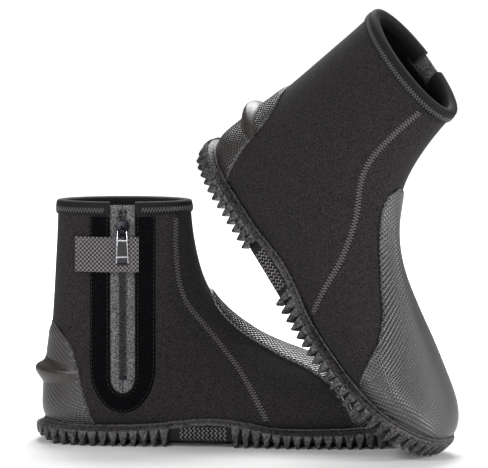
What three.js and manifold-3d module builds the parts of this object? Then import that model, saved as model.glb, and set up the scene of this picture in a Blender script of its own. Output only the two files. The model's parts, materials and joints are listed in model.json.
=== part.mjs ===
// A pair of neoprene water-sports boots: the left boot stands flat and the right boot leans on it, toe down.
// Millimetres, +Z up. Each boot is modelled in its own frame: +X heel to toe, Z 0 the ground, and -Y the inner
// (medial) side of the left boot, which carries the zip. The right boot is the left one mirrored.
// The pair's origin is the centre of the bottom of its bounding box.
import * as THREE from "three";
import { mergeVertices } from "three/addons/utils/BufferGeometryUtils.js";
import Module from "manifold-3d";

const wasm = await Module();
wasm.setup();

// ---- Driving dimensions ------------------------------------------------------------------------------------

const clearance = 0.3; // between pieces that touch on the real boot
const footLength = 284.5; // upper, back of the heel to the tip of the toe
const ballWidth = 95; // upper, across the ball of the foot
const bootHeight = 179; // ground to the top of the collar
const ankleHeight = 100; // ground to the level where the foot turns into the shaft
const shaftWidth = 56; // across the collar
const neoprene = 5; // thickness of the upper

const treadDepth = 4.5; // ground to the underside of the sole plate
const solePlate = 4.7; // sole plate, under the upper
const randThickness = 3.2; // rubber wall round the lower edge of the upper
const toothReach = 3.2; // how far the edge teeth stand out of the rand
const toothHeight = 11; // ground to the top of an edge tooth
const toothPitch = 7.6;
const toothRoot = 6.4; // width of a tooth where it leaves the rand
const toothTip = 2; // width of a tooth at the ground
const toothDepth = 7; // how far a tooth runs in under the plate
const lugSize = 15; // tread lugs under the plate, across the corners
const lugPitch = 23;
const archStart = 100; // smooth and ribbed arch panel, which has no teeth
const archEnd = 149;
const archRibs = 9;
const ribDepth = 1;

const guardThickness = 1.6; // textured rubber skins on the toe and the heel
const ledgeReach = 6.5; // fin strap ledge, out from the heel skin
const ledgeHeight = 54; // its centre above the ground
const ledgeSpan = 66;
const ledgeThickness = 17;
const insoleThickness = 3;
const seamHeight = 13; // bottom seam, between the sole panel and the side panels

const bindingHeight = 9;
const bindingThickness = 1;
const zipCentre = 65.4; // from the back of the heel
const zipTapeWidth = 18;
const zipTapeThickness = 1.2;
const zipSlotBottom = 39; // height of the lowest point of the zip opening
const zipInset = 0.8; // zip tape, in from the outside of the neoprene
const coilWidth = 2.2;
const coilThickness = 1.7;
const zipGroove = 1.6; // left between the two halves, where the slider's neck runs
const gussetWidth = 32;
const gussetThickness = 2;
const surroundWidth = 14.6;
const surroundThickness = 0.9;

const sliderLength = 12;
const sliderWidth = 10.5;
const sliderPlate = 1.3;
const sliderDrop = 6; // top of the slider below the underside of the binding, plus the binding
const bridgeWidth = 3;
const bridgeGap = 1.4; // thickness of the bridge over the puller's bar
const pullerLength = 25;
const pullerWidth = 9.5;
const pullerThickness = 1.4;
const pullerBar = 0.75; // radius of its pivot bar
const tabLength = 45;
const tabHeight = 26;
const tabThickness = 1.2;
const tabStandOff = 2.6; // over the neoprene
const hookPatchLength = 15;
const hookPatchThickness = 0.8;
const tabTopBelowCollar = 24;

const leanPitch = 48; // right boot, toe down, in degrees
const leanYaw = -40; // its toe turned towards the front of the pair
const leanRoll = -8; // its inner edge down
const leanEnd = 312; // the far side of the leaning boot, from the heel of the left boot
const leanGap = 0.6; // left between the two boots where the right one leans

// ---- The upper's outer surface -----------------------------------------------------------------------------

// Sections from the collar to the toe. Each one is a plane across the boot through a point on the front line
// and a point on the back or bottom line: [front x, front z, back x, back z, half width, centre y,
// widest at, exponent of the front half, exponent of the back half]. Nominal millimetres.
const sections = [
  [115.3, 179, 16.4, 179, 28, 0, 0.5, 2.0, 2.0],
  [117, 160, 15.6, 156, 29.4, 0, 0.5, 2.0, 2.0],
  [119.8, 143, 14.2, 132, 30.8, 0, 0.5, 2.0, 2.0],
  [123.6, 128, 12.8, 108, 32.2, 0, 0.5, 2.0, 2.0],
  [128.6, 115.5, 11, 84, 33.4, 0, 0.5, 2.0, 2.0],
  [134.6, 106.5, 8.2, 61, 34.4, 0, 0.51, 2.0, 2.05],
  [141, 99.5, 6.2, 40, 35.2, 0, 0.53, 2.0, 2.15],
  [148.5, 92.8, 9.5, 21, 35.6, 0, 0.57, 1.95, 2.3],
  [157, 86.5, 27, 10.4, 36.4, 0, 0.61, 1.9, 2.5],
  [168, 79.5, 62, 9.3, 37.6, 0, 0.64, 1.9, 2.7],
  [183, 72.5, 100, 9.2, 40, -0.6, 0.66, 1.9, 2.8],
  [203, 65, 148, 9.2, 44.4, -1.6, 0.66, 1.95, 2.8],
  [225, 57.5, 193, 9.2, 47.5, -3, 0.64, 2.0, 2.7],
  [246, 50, 230, 9.6, 46.5, -4.6, 0.62, 2.05, 2.6],
  [262, 44.2, 256, 10.6, 42, -6.2, 0.58, 2.1, 2.4],
  [274, 39.5, 272, 12.3, 34.5, -7.6, 0.55, 2.1, 2.3],
  [283, 33.8, 282, 15.6, 25, -8.6, 0.52, 2.1, 2.2],
  [288, 28.6, 287.6, 19.8, 14, -9, 0.5, 2.1, 2.1],
  [289.6, 24.2, 289.6, 24.2, 0, -9, 0.5, 2.0, 2.0],
];
const heelBack = 5.1; // nominal x of the back of the heel, which stays where it is
const nominal = { footLength: 284.5, ballWidth: 95, bootHeight: 179, ankle: 100, sole: 9.2, shaftWidth: 56 };
const lastSection = sections.length - 1;

const lerp = (a, b, t) => a + (b - a) * t;
const alongFoot = (x) => heelBack + (x - heelBack) * (footLength / nominal.footLength);
const underfoot = treadDepth + solePlate; // ground to the bottom of the upper
const up = (z) =>
  z <= nominal.ankle
    ? lerp(underfoot, ankleHeight, (z - nominal.sole) / (nominal.ankle - nominal.sole))
    : lerp(ankleHeight, bootHeight, (z - nominal.ankle) / (nominal.bootHeight - nominal.ankle));

const placed = sections.map(([fx, fz, bx, bz, width, centre, ...rest]) => {
  const onFoot = THREE.MathUtils.smoothstep(bx, 60, 190) * (bz < nominal.ankle ? 1 : 0);
  const widen = lerp(shaftWidth / nominal.shaftWidth, ballWidth / nominal.ballWidth, onFoot);
  return [alongFoot(fx), up(fz), alongFoot(bx), up(bz), width * widen, centre, ...rest];
});

// Catmull-Rom through the sections; before the first one the line runs straight on.
function sectionAt(k) {
  if (k < 0) return placed[0].map((v, i) => v + k * (placed[1][i] - v));
  const i = Math.min(Math.floor(k), lastSection - 1);
  const t = k - i;
  const at = (n) => placed[Math.max(0, Math.min(lastSection, n))];
  return placed[i].map((v, c) => {
    const [a, b, d, e] = [at(i - 1)[c], v, at(i + 1)[c], at(i + 2)[c]];
    return b + 0.5 * t * (d - a + t * (2 * a - 5 * b + 4 * d - e + t * (3 * (b - d) + e - a)));
  });
}

// A point of the surface: k counts the sections, and turn goes round from the front line (0) by the outer
// side (a quarter) to the back or bottom line (a half) and home by the inner side.
function surface(k, turn) {
  const [fx, fz, bx, bz, width, centre, widest, frontPower, backPower] = sectionAt(k);
  const [c, s] = [-Math.cos(turn), Math.sin(turn)];
  const power = c < 0 ? frontPower : backPower;
  const r = (Math.abs(c) ** power + Math.abs(s) ** power) ** (-1 / power);
  const share = widest + c * r * (c < 0 ? widest : 1 - widest);
  return new THREE.Vector3(lerp(fx, bx, share), centre + s * r * width, lerp(fz, bz, share));
}

function normal(k, turn) {
  const step = 0.02;
  const high = Math.min(k + step, lastSection - step);
  const along = surface(high, turn).sub(surface(high - 2 * step, turn));
  const around = surface(k, turn + step).sub(surface(k, turn - step));
  return along.cross(around).normalize();
}

const offsetPoint = (k, turn, off) => surface(k, turn).addScaledVector(normal(k, turn), off);

// Half width of the surface at a point of the side view, on the side given by sign.
function sideAt(x, z, sign) {
  let [low, high] = [0, lastSection];
  for (let n = 0; n < 40; n++) {
    const k = (low + high) / 2;
    const [fx, fz, bx, bz] = sectionAt(k);
    if ((bx - fx) * (z - fz) - (bz - fz) * (x - fx) > 0) low = k;
    else high = k;
  }
  const [fx, fz, bx, bz, width, centre, widest, frontPower, backPower] = sectionAt((low + high) / 2);
  const share = ((x - fx) * (bx - fx) + (z - fz) * (bz - fz)) / ((bx - fx) ** 2 + (bz - fz) ** 2 || 1);
  const u = Math.abs(share - widest) / (share < widest ? widest : 1 - widest);
  const power = share < widest ? frontPower : backPower;
  return u < 1 ? centre + sign * width * (1 - u ** power) ** (1 / power) : null;
}

// ---- Solids ------------------------------------------------------------------------------------------------

function solid(geometry) {
  const bare = geometry.clone();
  bare.deleteAttribute("normal");
  bare.deleteAttribute("uv");
  const merged = mergeVertices(bare, 1e-3);
  return new wasm.Manifold(
    new wasm.Mesh({
      numProp: 3,
      vertProperties: new Float32Array(merged.attributes.position.array),
      triVerts: new Uint32Array(merged.index.array),
    }),
  );
}

function geometryOf(manifold) {
  const mesh = manifold.getMesh();
  const geometry = new THREE.BufferGeometry();
  geometry.setAttribute("position", new THREE.BufferAttribute(mesh.vertProperties.slice(), 3));
  geometry.setIndex(new THREE.BufferAttribute(mesh.triVerts.slice(), 1));
  geometry.computeVertexNormals();
  return geometry;
}

function fromFaces(points, triangles) {
  const geometry = new THREE.BufferGeometry();
  geometry.setAttribute("position", new THREE.Float32BufferAttribute(points.flatMap((p) => p.toArray()), 3));
  geometry.setIndex(triangles.flat());
  return solid(geometry);
}

// The rows of sections and the turns that the sock's skins are made of.
const sockRows = [-0.3, 0, 2, 4, 5, 6, 6.5, 7, 7.5, 8.2, 9, 10, 11.2, 12.4, 13.6, 14.8, 16, 17];
const sockSides = 20;
const sockTurns = Array.from({ length: sockSides }, (_, i) => (i / sockSides) * 2 * Math.PI);

// The whole foot form, grown by off: closed by a fan at the toe and one over the collar.
function footForm(off) {
  const n = sockTurns.length;
  const points = sockRows.flatMap((k) => sockTurns.map((turn) => offsetPoint(k, turn, off)));
  const tip = surface(lastSection, 0).add(new THREE.Vector3(off, 0, 0));
  const top = points.slice(0, n).reduce((sum, p) => sum.add(p), new THREE.Vector3()).divideScalar(n);
  points.push(tip, top);
  const [tipIndex, topIndex] = [points.length - 2, points.length - 1];
  const triangles = [];
  const lastRow = (sockRows.length - 1) * n;
  for (let i = 0; i < n; i++) {
    const j = (i + 1) % n;
    for (let row = 0; row < lastRow; row += n) {
      triangles.push([row + i, row + n + i, row + j], [row + j, row + n + i, row + n + j]);
    }
    triangles.push([lastRow + i, tipIndex, lastRow + j], [i, j, topIndex]);
  }
  return fromFaces(points, triangles);
}

// A sheet of the surface between two offsets, over a window of sections and turns.
function sheet(inner, outer, rows, turns) {
  const n = turns.length;
  const layer = (off) => rows.flatMap((k) => turns.map((turn) => offsetPoint(k, turn, off)));
  const points = [...layer(outer), ...layer(inner)];
  const half = rows.length * n;
  const triangles = [];
  const quad = (a, b, c, d) => triangles.push([a, b, c], [a, c, d]);
  for (let r = 0; r < rows.length - 1; r++) {
    for (let i = 0; i < n - 1; i++) {
      const a = r * n + i;
      quad(a, a + n, a + n + 1, a + 1);
      quad(half + a, half + a + 1, half + a + n + 1, half + a + n);
    }
    const [first, last] = [r * n, r * n + n - 1];
    quad(first, half + first, half + first + n, first + n);
    quad(last, last + n, half + last + n, half + last);
  }
  for (let i = 0; i < n - 1; i++) {
    const end = half - n + i;
    quad(i, i + 1, half + i + 1, half + i);
    quad(end, half + end, half + end + 1, end + 1);
  }
  return fromFaces(points, triangles);
}

const range = (from, to, steps) => Array.from({ length: steps + 1 }, (_, i) => lerp(from, to, i / steps));

const far = 400; // longer than the boot, for cutters
const shapeOf = (points) => new THREE.Shape(points.map(([x, y]) => new THREE.Vector2(x, y)));

// A solid whose outline is drawn in the side view, x and z, and runs from one y to another.
function sideCut(points, fromY, toY) {
  const outline = THREE.ShapeUtils.isClockWise(shapeOf(points).getPoints()) ? [...points].reverse() : points;
  const geometry = new THREE.ExtrudeGeometry(shapeOf(outline), { depth: toY - fromY, bevelEnabled: false });
  return solid(geometry.rotateX(Math.PI / 2).translate(0, toY, 0));
}

// A solid whose outline is drawn in plan, x and y.
function planCut(points, fromZ, toZ) {
  const geometry = new THREE.ExtrudeGeometry(shapeOf(points), { depth: toZ - fromZ, bevelEnabled: false });
  return solid(geometry.translate(0, 0, fromZ));
}

const block = (fromX, toX, fromY, toY, fromZ, toZ) =>
  solid(
    new THREE.BoxGeometry(toX - fromX, toY - fromY, toZ - fromZ).translate(
      (fromX + toX) / 2,
      (fromY + toY) / 2,
      (fromZ + toZ) / 2,
    ),
  );

// A smooth line through a few points of the side view.
function smooth(points, steps) {
  const curve = new THREE.SplineCurve(points.map(([x, y]) => new THREE.Vector2(alongFoot(x), up(y))));
  return curve.getPoints(steps).map((p) => [p.x, p.y]);
}
const shifted = (line, dx, dz) => line.map(([x, z]) => [x + dx, z + dz]);

// ---- Pattern lines, drawn in the side view ------------------------------------------------------------------

const frontSeam = smooth([[105.4, 195], [105, 141], [111, 109], [131, 82.5], [153, 54.7], [168.8, 26.8], [177, 8]], 18);
const toeGuardEdge = smooth([[127, 124], [134, 102], [151, 83.4], [178, 67], [204, 55], [224, 40], [238, 12]], 16);
const heelGuardEdge = smooth([[-8, 92], [13, 89], [23, 79], [29.5, 66.5], [36, 40], [46, 12]], 12);
const randTop = smooth([[-12, 19], [40, 15.6], [85, 17], [125, 21.5], [152, 20], [185, 14.4], [235, 15.4], [272, 21], [304, 29]], 20);

const seamHalfGap = 0.2;
const ahead = (line) => [...line, [far, line[line.length - 1][1]], [far, line[0][1]]];
const behind = (line) => [...line, [-far, line[line.length - 1][1]], [-far, line[0][1]]];
const above = (line) => [...line, [line[line.length - 1][0], far], [line[0][0], far]];
const below = (line) => [...line, [line[line.length - 1][0], -far], [line[0][0], -far]];

// ---- Upper panels ------------------------------------------------------------------------------------------

const form = footForm(0);
const cavity = footForm(-neoprene);
const underCollar = block(-far, far, -far, far, -far, bootHeight);
const sock = form.subtract(cavity).intersect(underCollar);
const bottomLine = (gap) => [[-far, seamHeight + gap], [far, seamHeight + gap]];
const wholeAbove = (gap) => sideCut(above(bottomLine(gap)), -far, far);

const slotHalf = zipTapeWidth / 2 + clearance;
const slotRound = 12; // how far up the rounded foot of the zip opening goes

// A U standing on its round foot, from its lowest point up.
function uOutline(centre, half, bottom, roundHeight, top) {
  const foot = range(Math.PI, 2 * Math.PI, 10).map((a) => [
    centre + half * Math.cos(a),
    bottom + roundHeight + roundHeight * Math.sin(a),
  ]);
  return [...foot, [centre + half, top], [centre - half, top]];
}
const zipX = alongFoot(zipCentre);
const slotOutline = (grow) => uOutline(zipX, slotHalf + grow, zipSlotBottom - grow, slotRound + grow, far);
const zipSlot = sideCut(slotOutline(0), -far, 0);

const vamp = sock
  .intersect(sideCut(ahead(shifted(frontSeam, seamHalfGap, 0)), -far, far))
  .intersect(wholeAbove(seamHalfGap));
const quarters = sock
  .intersect(sideCut(behind(shifted(frontSeam, -seamHalfGap, 0)), -far, far))
  .intersect(wholeAbove(seamHalfGap));
const lateralQuarter = quarters.intersect(block(-far, far, seamHalfGap, far, -far, far));
const medialQuarter = quarters.intersect(block(-far, far, -far, -seamHalfGap, -far, far)).subtract(zipSlot);
const solePanel = sock.intersect(sideCut(below(bottomLine(-seamHalfGap)), -far, far));

const insoleBottom = underfoot + neoprene;
const insole = footForm(-neoprene - clearance).intersect(
  block(-far, far, -far, far, 0, insoleBottom + clearance + insoleThickness),
);

// ---- Rubber skins, ledge and binding -----------------------------------------------------------------------

const guardInner = clearance;
const guardOuter = guardInner + guardThickness;
const guardSkin = footForm(guardOuter).subtract(footForm(guardInner));
const overRand = sideCut(above(shifted(randTop, 0, clearance)), -far, far);
const toeGuard = guardSkin.intersect(sideCut(ahead(toeGuardEdge), -far, far)).intersect(overRand);
const heelGuard = guardSkin.intersect(sideCut(below(heelGuardEdge), -far, far)).intersect(overRand);

const ledgeZ = up(ledgeHeight);
const ledgeBall = solid(
  new THREE.SphereGeometry(1, 16, 10)
    .rotateX(Math.PI / 2)
    .scale(ledgeReach + guardOuter + 18, ledgeSpan / 2, ledgeThickness / 2)
    .translate(heelBack + 20, 0, ledgeZ),
);
const strapLedge = ledgeBall
  .subtract(footForm(guardOuter + clearance))
  .intersect(block(-far, heelBack + 18, -far, far, -far, far));

const bindingBlank = footForm(clearance + bindingThickness)
  .subtract(footForm(-neoprene - clearance - bindingThickness))
  .intersect(block(-far, far, -far, far, bootHeight - bindingHeight, bootHeight + clearance + bindingThickness));
const bindingGroove = footForm(clearance)
  .subtract(footForm(-neoprene - clearance))
  .intersect(block(-far, far, -far, far, -far, bootHeight + clearance));
const collarBinding = bindingBlank.subtract(bindingGroove).subtract(sideCut(slotOutline(0), -far, 0));

// ---- Outsole -----------------------------------------------------------------------------------------------

// How far the upper reaches to one side of the middle at x, anywhere below the rand's top.
const soleHeights = range(underfoot + 2, seamHeight + 12, 6);
function reachAt(x, sign) {
  const found = soleHeights.map((z) => sideAt(x, z, sign)).filter((y) => y !== null);
  return found.length ? sign * Math.max(...found.map((y) => sign * y)) : null;
}

// The end of that reach between an x inside the upper and one outside it.
function endOfReach(inside, outside) {
  for (let n = 0; n < 20; n++) {
    const x = (inside + outside) / 2;
    if (reachAt(x, 1) === null) outside = x;
    else inside = x;
  }
  return inside;
}
const heelEnd = endOfReach(alongFoot(60), alongFoot(-20));
const toeEnd = endOfReach(alongFoot(240), alongFoot(310));

// Its outline in plan, grown by off.
function soleOutline(off, steps) {
  const stations = range(Math.PI, 0, steps).map((a) => lerp(heelEnd, toeEnd, 0.5 + 0.5 * Math.cos(a)));
  const side = (sign) => stations.slice(1, -1).map((x) => [x, reachAt(x, sign)]);
  const middle = (x) => (reachAt(x, 1) + reachAt(x, -1)) / 2;
  const loop = [[heelEnd, middle(heelEnd)], ...side(-1), [toeEnd, middle(toeEnd)], ...side(1).reverse()];
  return loop.map(([x, y], i) => {
    const [px, py] = loop[(i + loop.length - 1) % loop.length];
    const [nx, ny] = loop[(i + 1) % loop.length];
    const length = Math.hypot(nx - px, ny - py);
    return [x + (off * (ny - py)) / length, y - (off * (nx - px)) / length];
  });
}

// The ground line in the side view: a bevel at the heel and spring under the toe.
const groundRise = (x) =>
  7 * THREE.MathUtils.smoothstep(-x, -alongFoot(16), 3) + 8 * THREE.MathUtils.smoothstep(x, alongFoot(248), alongFoot(300));
const groundLine = range(-20, alongFoot(310), 22).map((x) => [x, groundRise(x)]);

const rimOutline = soleOutline(clearance + randThickness, 26);
const underRand = sideCut(below(randTop), -far, far);
const soleBlank = planCut(rimOutline, 0, underfoot + 5)
  .add(footForm(clearance + randThickness))
  .intersect(sideCut(above(shifted(groundLine, 0, treadDepth)), -far, far));

// Places round the outline, one tooth pitch apart, with the direction out of the sole.
function aroundRim(pitch) {
  const curve = new THREE.CatmullRomCurve3(rimOutline.map(([x, y]) => new THREE.Vector3(x, y, 0)), true);
  const count = Math.round(curve.getLength() / pitch);
  return Array.from({ length: count }, (_, i) => {
    const point = curve.getPointAt(i / count);
    const tangent = curve.getTangentAt(i / count);
    return { x: point.x, y: point.y, heading: Math.atan2(-tangent.x, tangent.y) };
  });
}

const inArch = (x) => x > archStart * (footLength / nominal.footLength) && x < archEnd * (footLength / nominal.footLength);

// One edge tooth: wide at the top and narrow at the ground, standing out of the rand.
function tooth({ x, y, heading }) {
  const profile = [
    [-toothTip / 2, 0],
    [toothTip / 2, 0],
    [toothRoot / 2, toothHeight],
    [-toothRoot / 2, toothHeight],
  ];
  const geometry = new THREE.ExtrudeGeometry(shapeOf(profile), { depth: toothDepth + toothReach, bevelEnabled: false });
  return solid(
    geometry
      .rotateX(Math.PI / 2)
      .translate(0, toothDepth, 0)
      .rotateZ(heading + Math.PI / 2)
      .translate(x, y, groundRise(x)),
  );
}

// Tread lugs: square blocks on their corners, in staggered rows, clear of the teeth.
function treadLugs() {
  const lugs = [];
  const inside = soleOutline(-toothDepth - lugSize / 2, 26);
  const contains = (px, py) =>
    inside.reduce((odd, [x, y], i) => {
      const [nx, ny] = inside[(i + 1) % inside.length];
      return y > py !== ny > py && px < ((nx - x) * (py - y)) / (ny - y) + x ? !odd : odd;
    }, false);
  for (let column = 1; column * (lugPitch / 2) < alongFoot(290); column++) {
    for (let row = -4; row <= 4; row++) {
      const [x, y] = [(column * lugPitch) / 2 + 4, (row + (column % 2) / 2) * lugPitch];
      if (!contains(x, y) || inArch(x - 6) || inArch(x + 6)) continue;
      const half = lugSize / 2;
      const diamond = [[x - half, y], [x, y - half], [x + half, y], [x, y + half]];
      lugs.push(planCut(diamond, groundRise(x), underfoot - 1));
    }
  }
  return lugs;
}

// Shallow upright ribs in the middle of the arch panel, on both sides.
function archRibSolids() {
  const [from, to] = [archStart + 14, archEnd - 8].map((x) => x * (footLength / nominal.footLength));
  return [-1, 1].flatMap((sign) =>
    range(from, to, archRibs - 1).map((x) => {
      const edge = sideAt(x, seamHeight, sign) + sign * (clearance + randThickness);
      const [low, high] = sign < 0 ? [edge - ribDepth, edge + 2] : [edge - 2, edge + ribDepth];
      return block(x - 0.8, x + 0.8, low, high, treadDepth, up(16));
    }),
  );
}

const cradle = footForm(clearance);
const outsole = [...aroundRim(toothPitch).filter(({ x }) => !inArch(x)).map(tooth), ...treadLugs(), ...archRibSolids()]
  .reduce((sole, piece) => sole.add(piece), soleBlank)
  .intersect(underRand)
  .subtract(cradle);

// ---- Zip side: surround, gusset, tab ------------------------------------------------------------------------

const innerSide = sockTurns.filter((turn) => turn > Math.PI + 0.3 && turn < 2 * Math.PI - 0.5);
const shaftRows = sockRows.filter((k) => k < 9.5);
const bindingFoot = bootHeight - bindingHeight - clearance;

const surroundOuter = surroundWidth + slotHalf + clearance;
const zipSurround = sheet(clearance, clearance + surroundThickness, shaftRows, innerSide)
  .intersect(sideCut(uOutline(zipX, surroundOuter, zipSlotBottom - surroundWidth + 0.5, 36, bindingFoot), -far, 0))
  .subtract(sideCut(slotOutline(clearance), -far, 0));

const gussetOuter = -neoprene - clearance;
const zipGusset = sheet(gussetOuter - gussetThickness, gussetOuter, shaftRows, innerSide).intersect(
  block(zipX - gussetWidth / 2, zipX + gussetWidth / 2, -far, 0, zipSlotBottom - 4, bindingFoot - clearance),
);

const tabTop = bootHeight - tabTopBelowCollar;
const tabFront = zipX + slotHalf + 2.6; // its sewn edge, on the front leg of the surround
const tabWindow = (fromX, toX) => block(fromX, toX, -far, 0, tabTop - tabHeight, tabTop);
const tabRows = sockRows.filter((k) => k >= 0 && k <= 4);
const tabTurns = innerSide;
const surroundFace = clearance + surroundThickness;
const closureTab = sheet(tabStandOff, tabStandOff + tabThickness, tabRows, tabTurns)
  .intersect(tabWindow(tabFront - tabLength, tabFront))
  .add(
    sheet(surroundFace + clearance, tabStandOff + tabThickness, tabRows, tabTurns).intersect(
      tabWindow(tabFront - 2, tabFront),
    ),
  );
const hookPatch = sheet(
  tabStandOff - clearance - hookPatchThickness,
  tabStandOff - clearance,
  tabRows,
  tabTurns,
).intersect(tabWindow(tabFront - tabLength + 7, tabFront - tabLength + 7 + hookPatchLength));

// ---- Zip, in its own frame: x across it, z up along it, and -y out of the boot -----------------------------

const zipTopZ = bootHeight;
const zipFootZ = zipSlotBottom + 4;
const zipDepthAt = (z) => sideAt(zipX, z, -1) + zipInset;
const zipTilt = Math.atan2(zipDepthAt(zipTopZ - 1) - zipDepthAt(zipFootZ), zipTopZ - 1 - zipFootZ);
const zipFrame = { x: zipX, y: zipDepthAt(zipTopZ - 1), z: zipTopZ };
const downZip = (z) => (z - zipTopZ) / Math.cos(zipTilt); // a height of the boot, along the zip

const sliderTop = -bindingHeight - sliderDrop + 3;
const sliderFoot = sliderTop - sliderLength;
const tapeTop = -0.5;
const tapeFoot = downZip(zipSlotBottom) + clearance;
const coilFoot = downZip(zipSlotBottom) + slotRound + 2;

// One half of the zip tape, drawn as for the front half.
function tapeHalf(sign) {
  const half = zipTapeWidth / 2;
  const round = slotRound;
  const edge = zipGroove / 2;
  const foot = range(-Math.PI / 2, 0, 6).map((a) => [half * Math.cos(a), tapeFoot + round + round * Math.sin(a)]);
  const outline = [
    [edge, foot[0][1] + 0.02],
    ...foot.slice(1),
    [half, tapeTop],
    [edge, tapeTop],
  ];
  return zipPlate(outline, sign, 0, -zipTapeThickness);
}

// A plate drawn across and along the zip, between two heights out of the tape's face.
function zipPlate(outline, sign, outer, inner) {
  const points = outline.map(([x, z]) => [x * sign, z]);
  return sideCut(points, -outer, -inner);
}

// A straight bar of one half, from one height along the zip to another.
function zipBar(sign, from, to) {
  const [inner, outer] = [zipGroove / 2, zipGroove / 2 + coilWidth];
  return zipPlate([[inner, from], [outer, from], [outer, to], [inner, to]], sign, clearance + coilThickness, clearance);
}
const coilTop = -bindingHeight + 2;
const coilHalf = (sign) => zipBar(sign, coilFoot, coilTop);
const topStop = (sign) => zipBar(sign, coilTop + clearance, coilTop + clearance + 2.6);

const bottomStop = zipPlate(
  [[-3, coilFoot - clearance - 3.4], [3, coilFoot - clearance - 3.4], [3, coilFoot - clearance], [-3, coilFoot - clearance]],
  1,
  clearance + coilThickness,
  clearance,
);

const plateInner = clearance * 2 + coilThickness; // underside of the slider's outer plate
const plateOuter = plateInner + sliderPlate;
const barAxis = plateOuter + 2.6; // height of the puller's pivot
const bridgeInner = barAxis + pullerBar + clearance;
const barZ = sliderTop - sliderLength / 2 - 1.5;

function slider() {
  const half = sliderWidth / 2;
  const outline = [
    [-half * 0.62, sliderFoot],
    [half * 0.62, sliderFoot],
    [half * 0.7, sliderFoot + 4],
    [half, sliderTop - 3.5],
    [half * 0.8, sliderTop],
    [-half * 0.8, sliderTop],
    [-half, sliderTop - 3.5],
    [-half * 0.7, sliderFoot + 4],
  ];
  const plates = [
    zipPlate(outline, 1, plateOuter, plateInner),
    zipPlate(outline, 1, -zipTapeThickness - clearance, -zipTapeThickness - clearance - sliderPlate),
  ];
  const neckHalf = zipGroove / 2 - clearance;
  const neckOuter = plateInner + 0.2;
  const neck = zipPlate(
    [[-neckHalf, sliderTop - 4], [neckHalf, sliderTop - 4], [neckHalf, sliderTop - 0.5], [-neckHalf, sliderTop - 0.5]],
    1,
    neckOuter,
    -zipTapeThickness - clearance - 0.2,
  );
  const post = (z) => block(-bridgeWidth / 2, bridgeWidth / 2, -bridgeInner - 0.1, -plateOuter + 0.2, z - 0.9, z + 0.9);
  const bridge = block(
    -bridgeWidth / 2,
    bridgeWidth / 2,
    -bridgeInner - bridgeGap,
    -bridgeInner,
    barZ - 3.4,
    barZ + 3.4,
  );
  return [neck, post(barZ + 2.5), post(barZ - 2.5), bridge].reduce((all, piece) => all.add(piece), plates[0].add(plates[1]));
}

// The puller hangs from a round bar under the slider's bridge: a loop, then a plate with a long window.
function puller() {
  const half = pullerWidth / 2;
  const neck = half * 0.78;
  const [outer, inner] = [barAxis + pullerThickness / 2, barAxis - pullerThickness / 2];
  const outline = [
    [-neck, barZ + 0.7],
    [-neck, barZ - 4],
    [-half, barZ - pullerLength + 2.5],
    [-half + 2, barZ - pullerLength],
    [half - 2, barZ - pullerLength],
    [half, barZ - pullerLength + 2.5],
    [neck, barZ - 4],
    [neck, barZ + 0.7],
  ];
  const loop = bridgeWidth / 2 + 2 * clearance;
  const eye = zipPlate([[-loop, barZ + 2], [-loop, barZ - 5.2], [loop, barZ - 5.2], [loop, barZ + 2]], 1, outer + 1, inner - 1);
  const opening = half - 2.2;
  const window = zipPlate(
    [[-opening, barZ - 9], [-opening, barZ - pullerLength + 7], [opening, barZ - pullerLength + 7], [opening, barZ - 9]],
    1,
    outer + 1,
    inner - 1,
  );
  const bar = solid(
    new THREE.CylinderGeometry(pullerBar, pullerBar, 2 * neck - 0.4, 12).rotateZ(Math.PI / 2).translate(0, -barAxis, barZ),
  );
  return zipPlate(outline, 1, outer, inner).subtract(eye).subtract(window).add(bar);
}

// ---- Finishes ----------------------------------------------------------------------------------------------

const finish = (color, roughness, metalness = 0) => new THREE.MeshStandardMaterial({ color, roughness, metalness });
const finishes = {
  neoprene: finish(0x2b292b, 0.9),
  rubber: finish(0x1f1d1e, 0.75),
  guard: finish(0x3d3b3c, 0.5),
  binding: finish(0x1b1a1b, 0.7),
  plush: finish(0x0d0c0e, 1),
  tape: finish(0x3c3b3d, 0.85),
  webbing: finish(0x4a484b, 0.85),
  coil: finish(0x161516, 0.4),
  metal: finish(0x2c2c2e, 0.3, 0.9),
  foam: finish(0x232223, 0.95),
};

// ---- Assembly ----------------------------------------------------------------------------------------------

const bootPieces = {
  outsole: [outsole, finishes.rubber],
  sole_panel: [solePanel, finishes.neoprene],
  insole: [insole, finishes.foam],
  vamp_panel: [vamp, finishes.neoprene],
  lateral_quarter: [lateralQuarter, finishes.neoprene],
  medial_quarter: [medialQuarter, finishes.neoprene],
  toe_guard: [toeGuard, finishes.guard],
  heel_guard: [heelGuard, finishes.guard],
  strap_ledge: [strapLedge, finishes.guard],
  collar_binding: [collarBinding, finishes.binding],
  zip_surround: [zipSurround, finishes.plush],
  zip_gusset: [zipGusset, finishes.neoprene],
  closure_tab: [closureTab, finishes.webbing],
  tab_hook_patch: [hookPatch, finishes.plush],
};
const zipPieces = {
  zip_tape_front: [tapeHalf(1), finishes.tape],
  zip_tape_rear: [tapeHalf(-1), finishes.tape],
  zip_coil_front: [coilHalf(1), finishes.coil],
  zip_coil_rear: [coilHalf(-1), finishes.coil],
  zip_top_stop_front: [topStop(1), finishes.metal],
  zip_top_stop_rear: [topStop(-1), finishes.metal],
  zip_bottom_stop: [bottomStop, finishes.metal],
  zip_slider: [slider(), finishes.metal],
  zip_puller: [puller(), finishes.metal],
};

const meshes = (pieces, side) =>
  Object.entries(pieces).map(([name, [piece, material]]) => {
    const mesh = new THREE.Mesh(geometryOf(piece), material);
    mesh.name = `${side}_${name}`;
    return mesh;
  });

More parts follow.
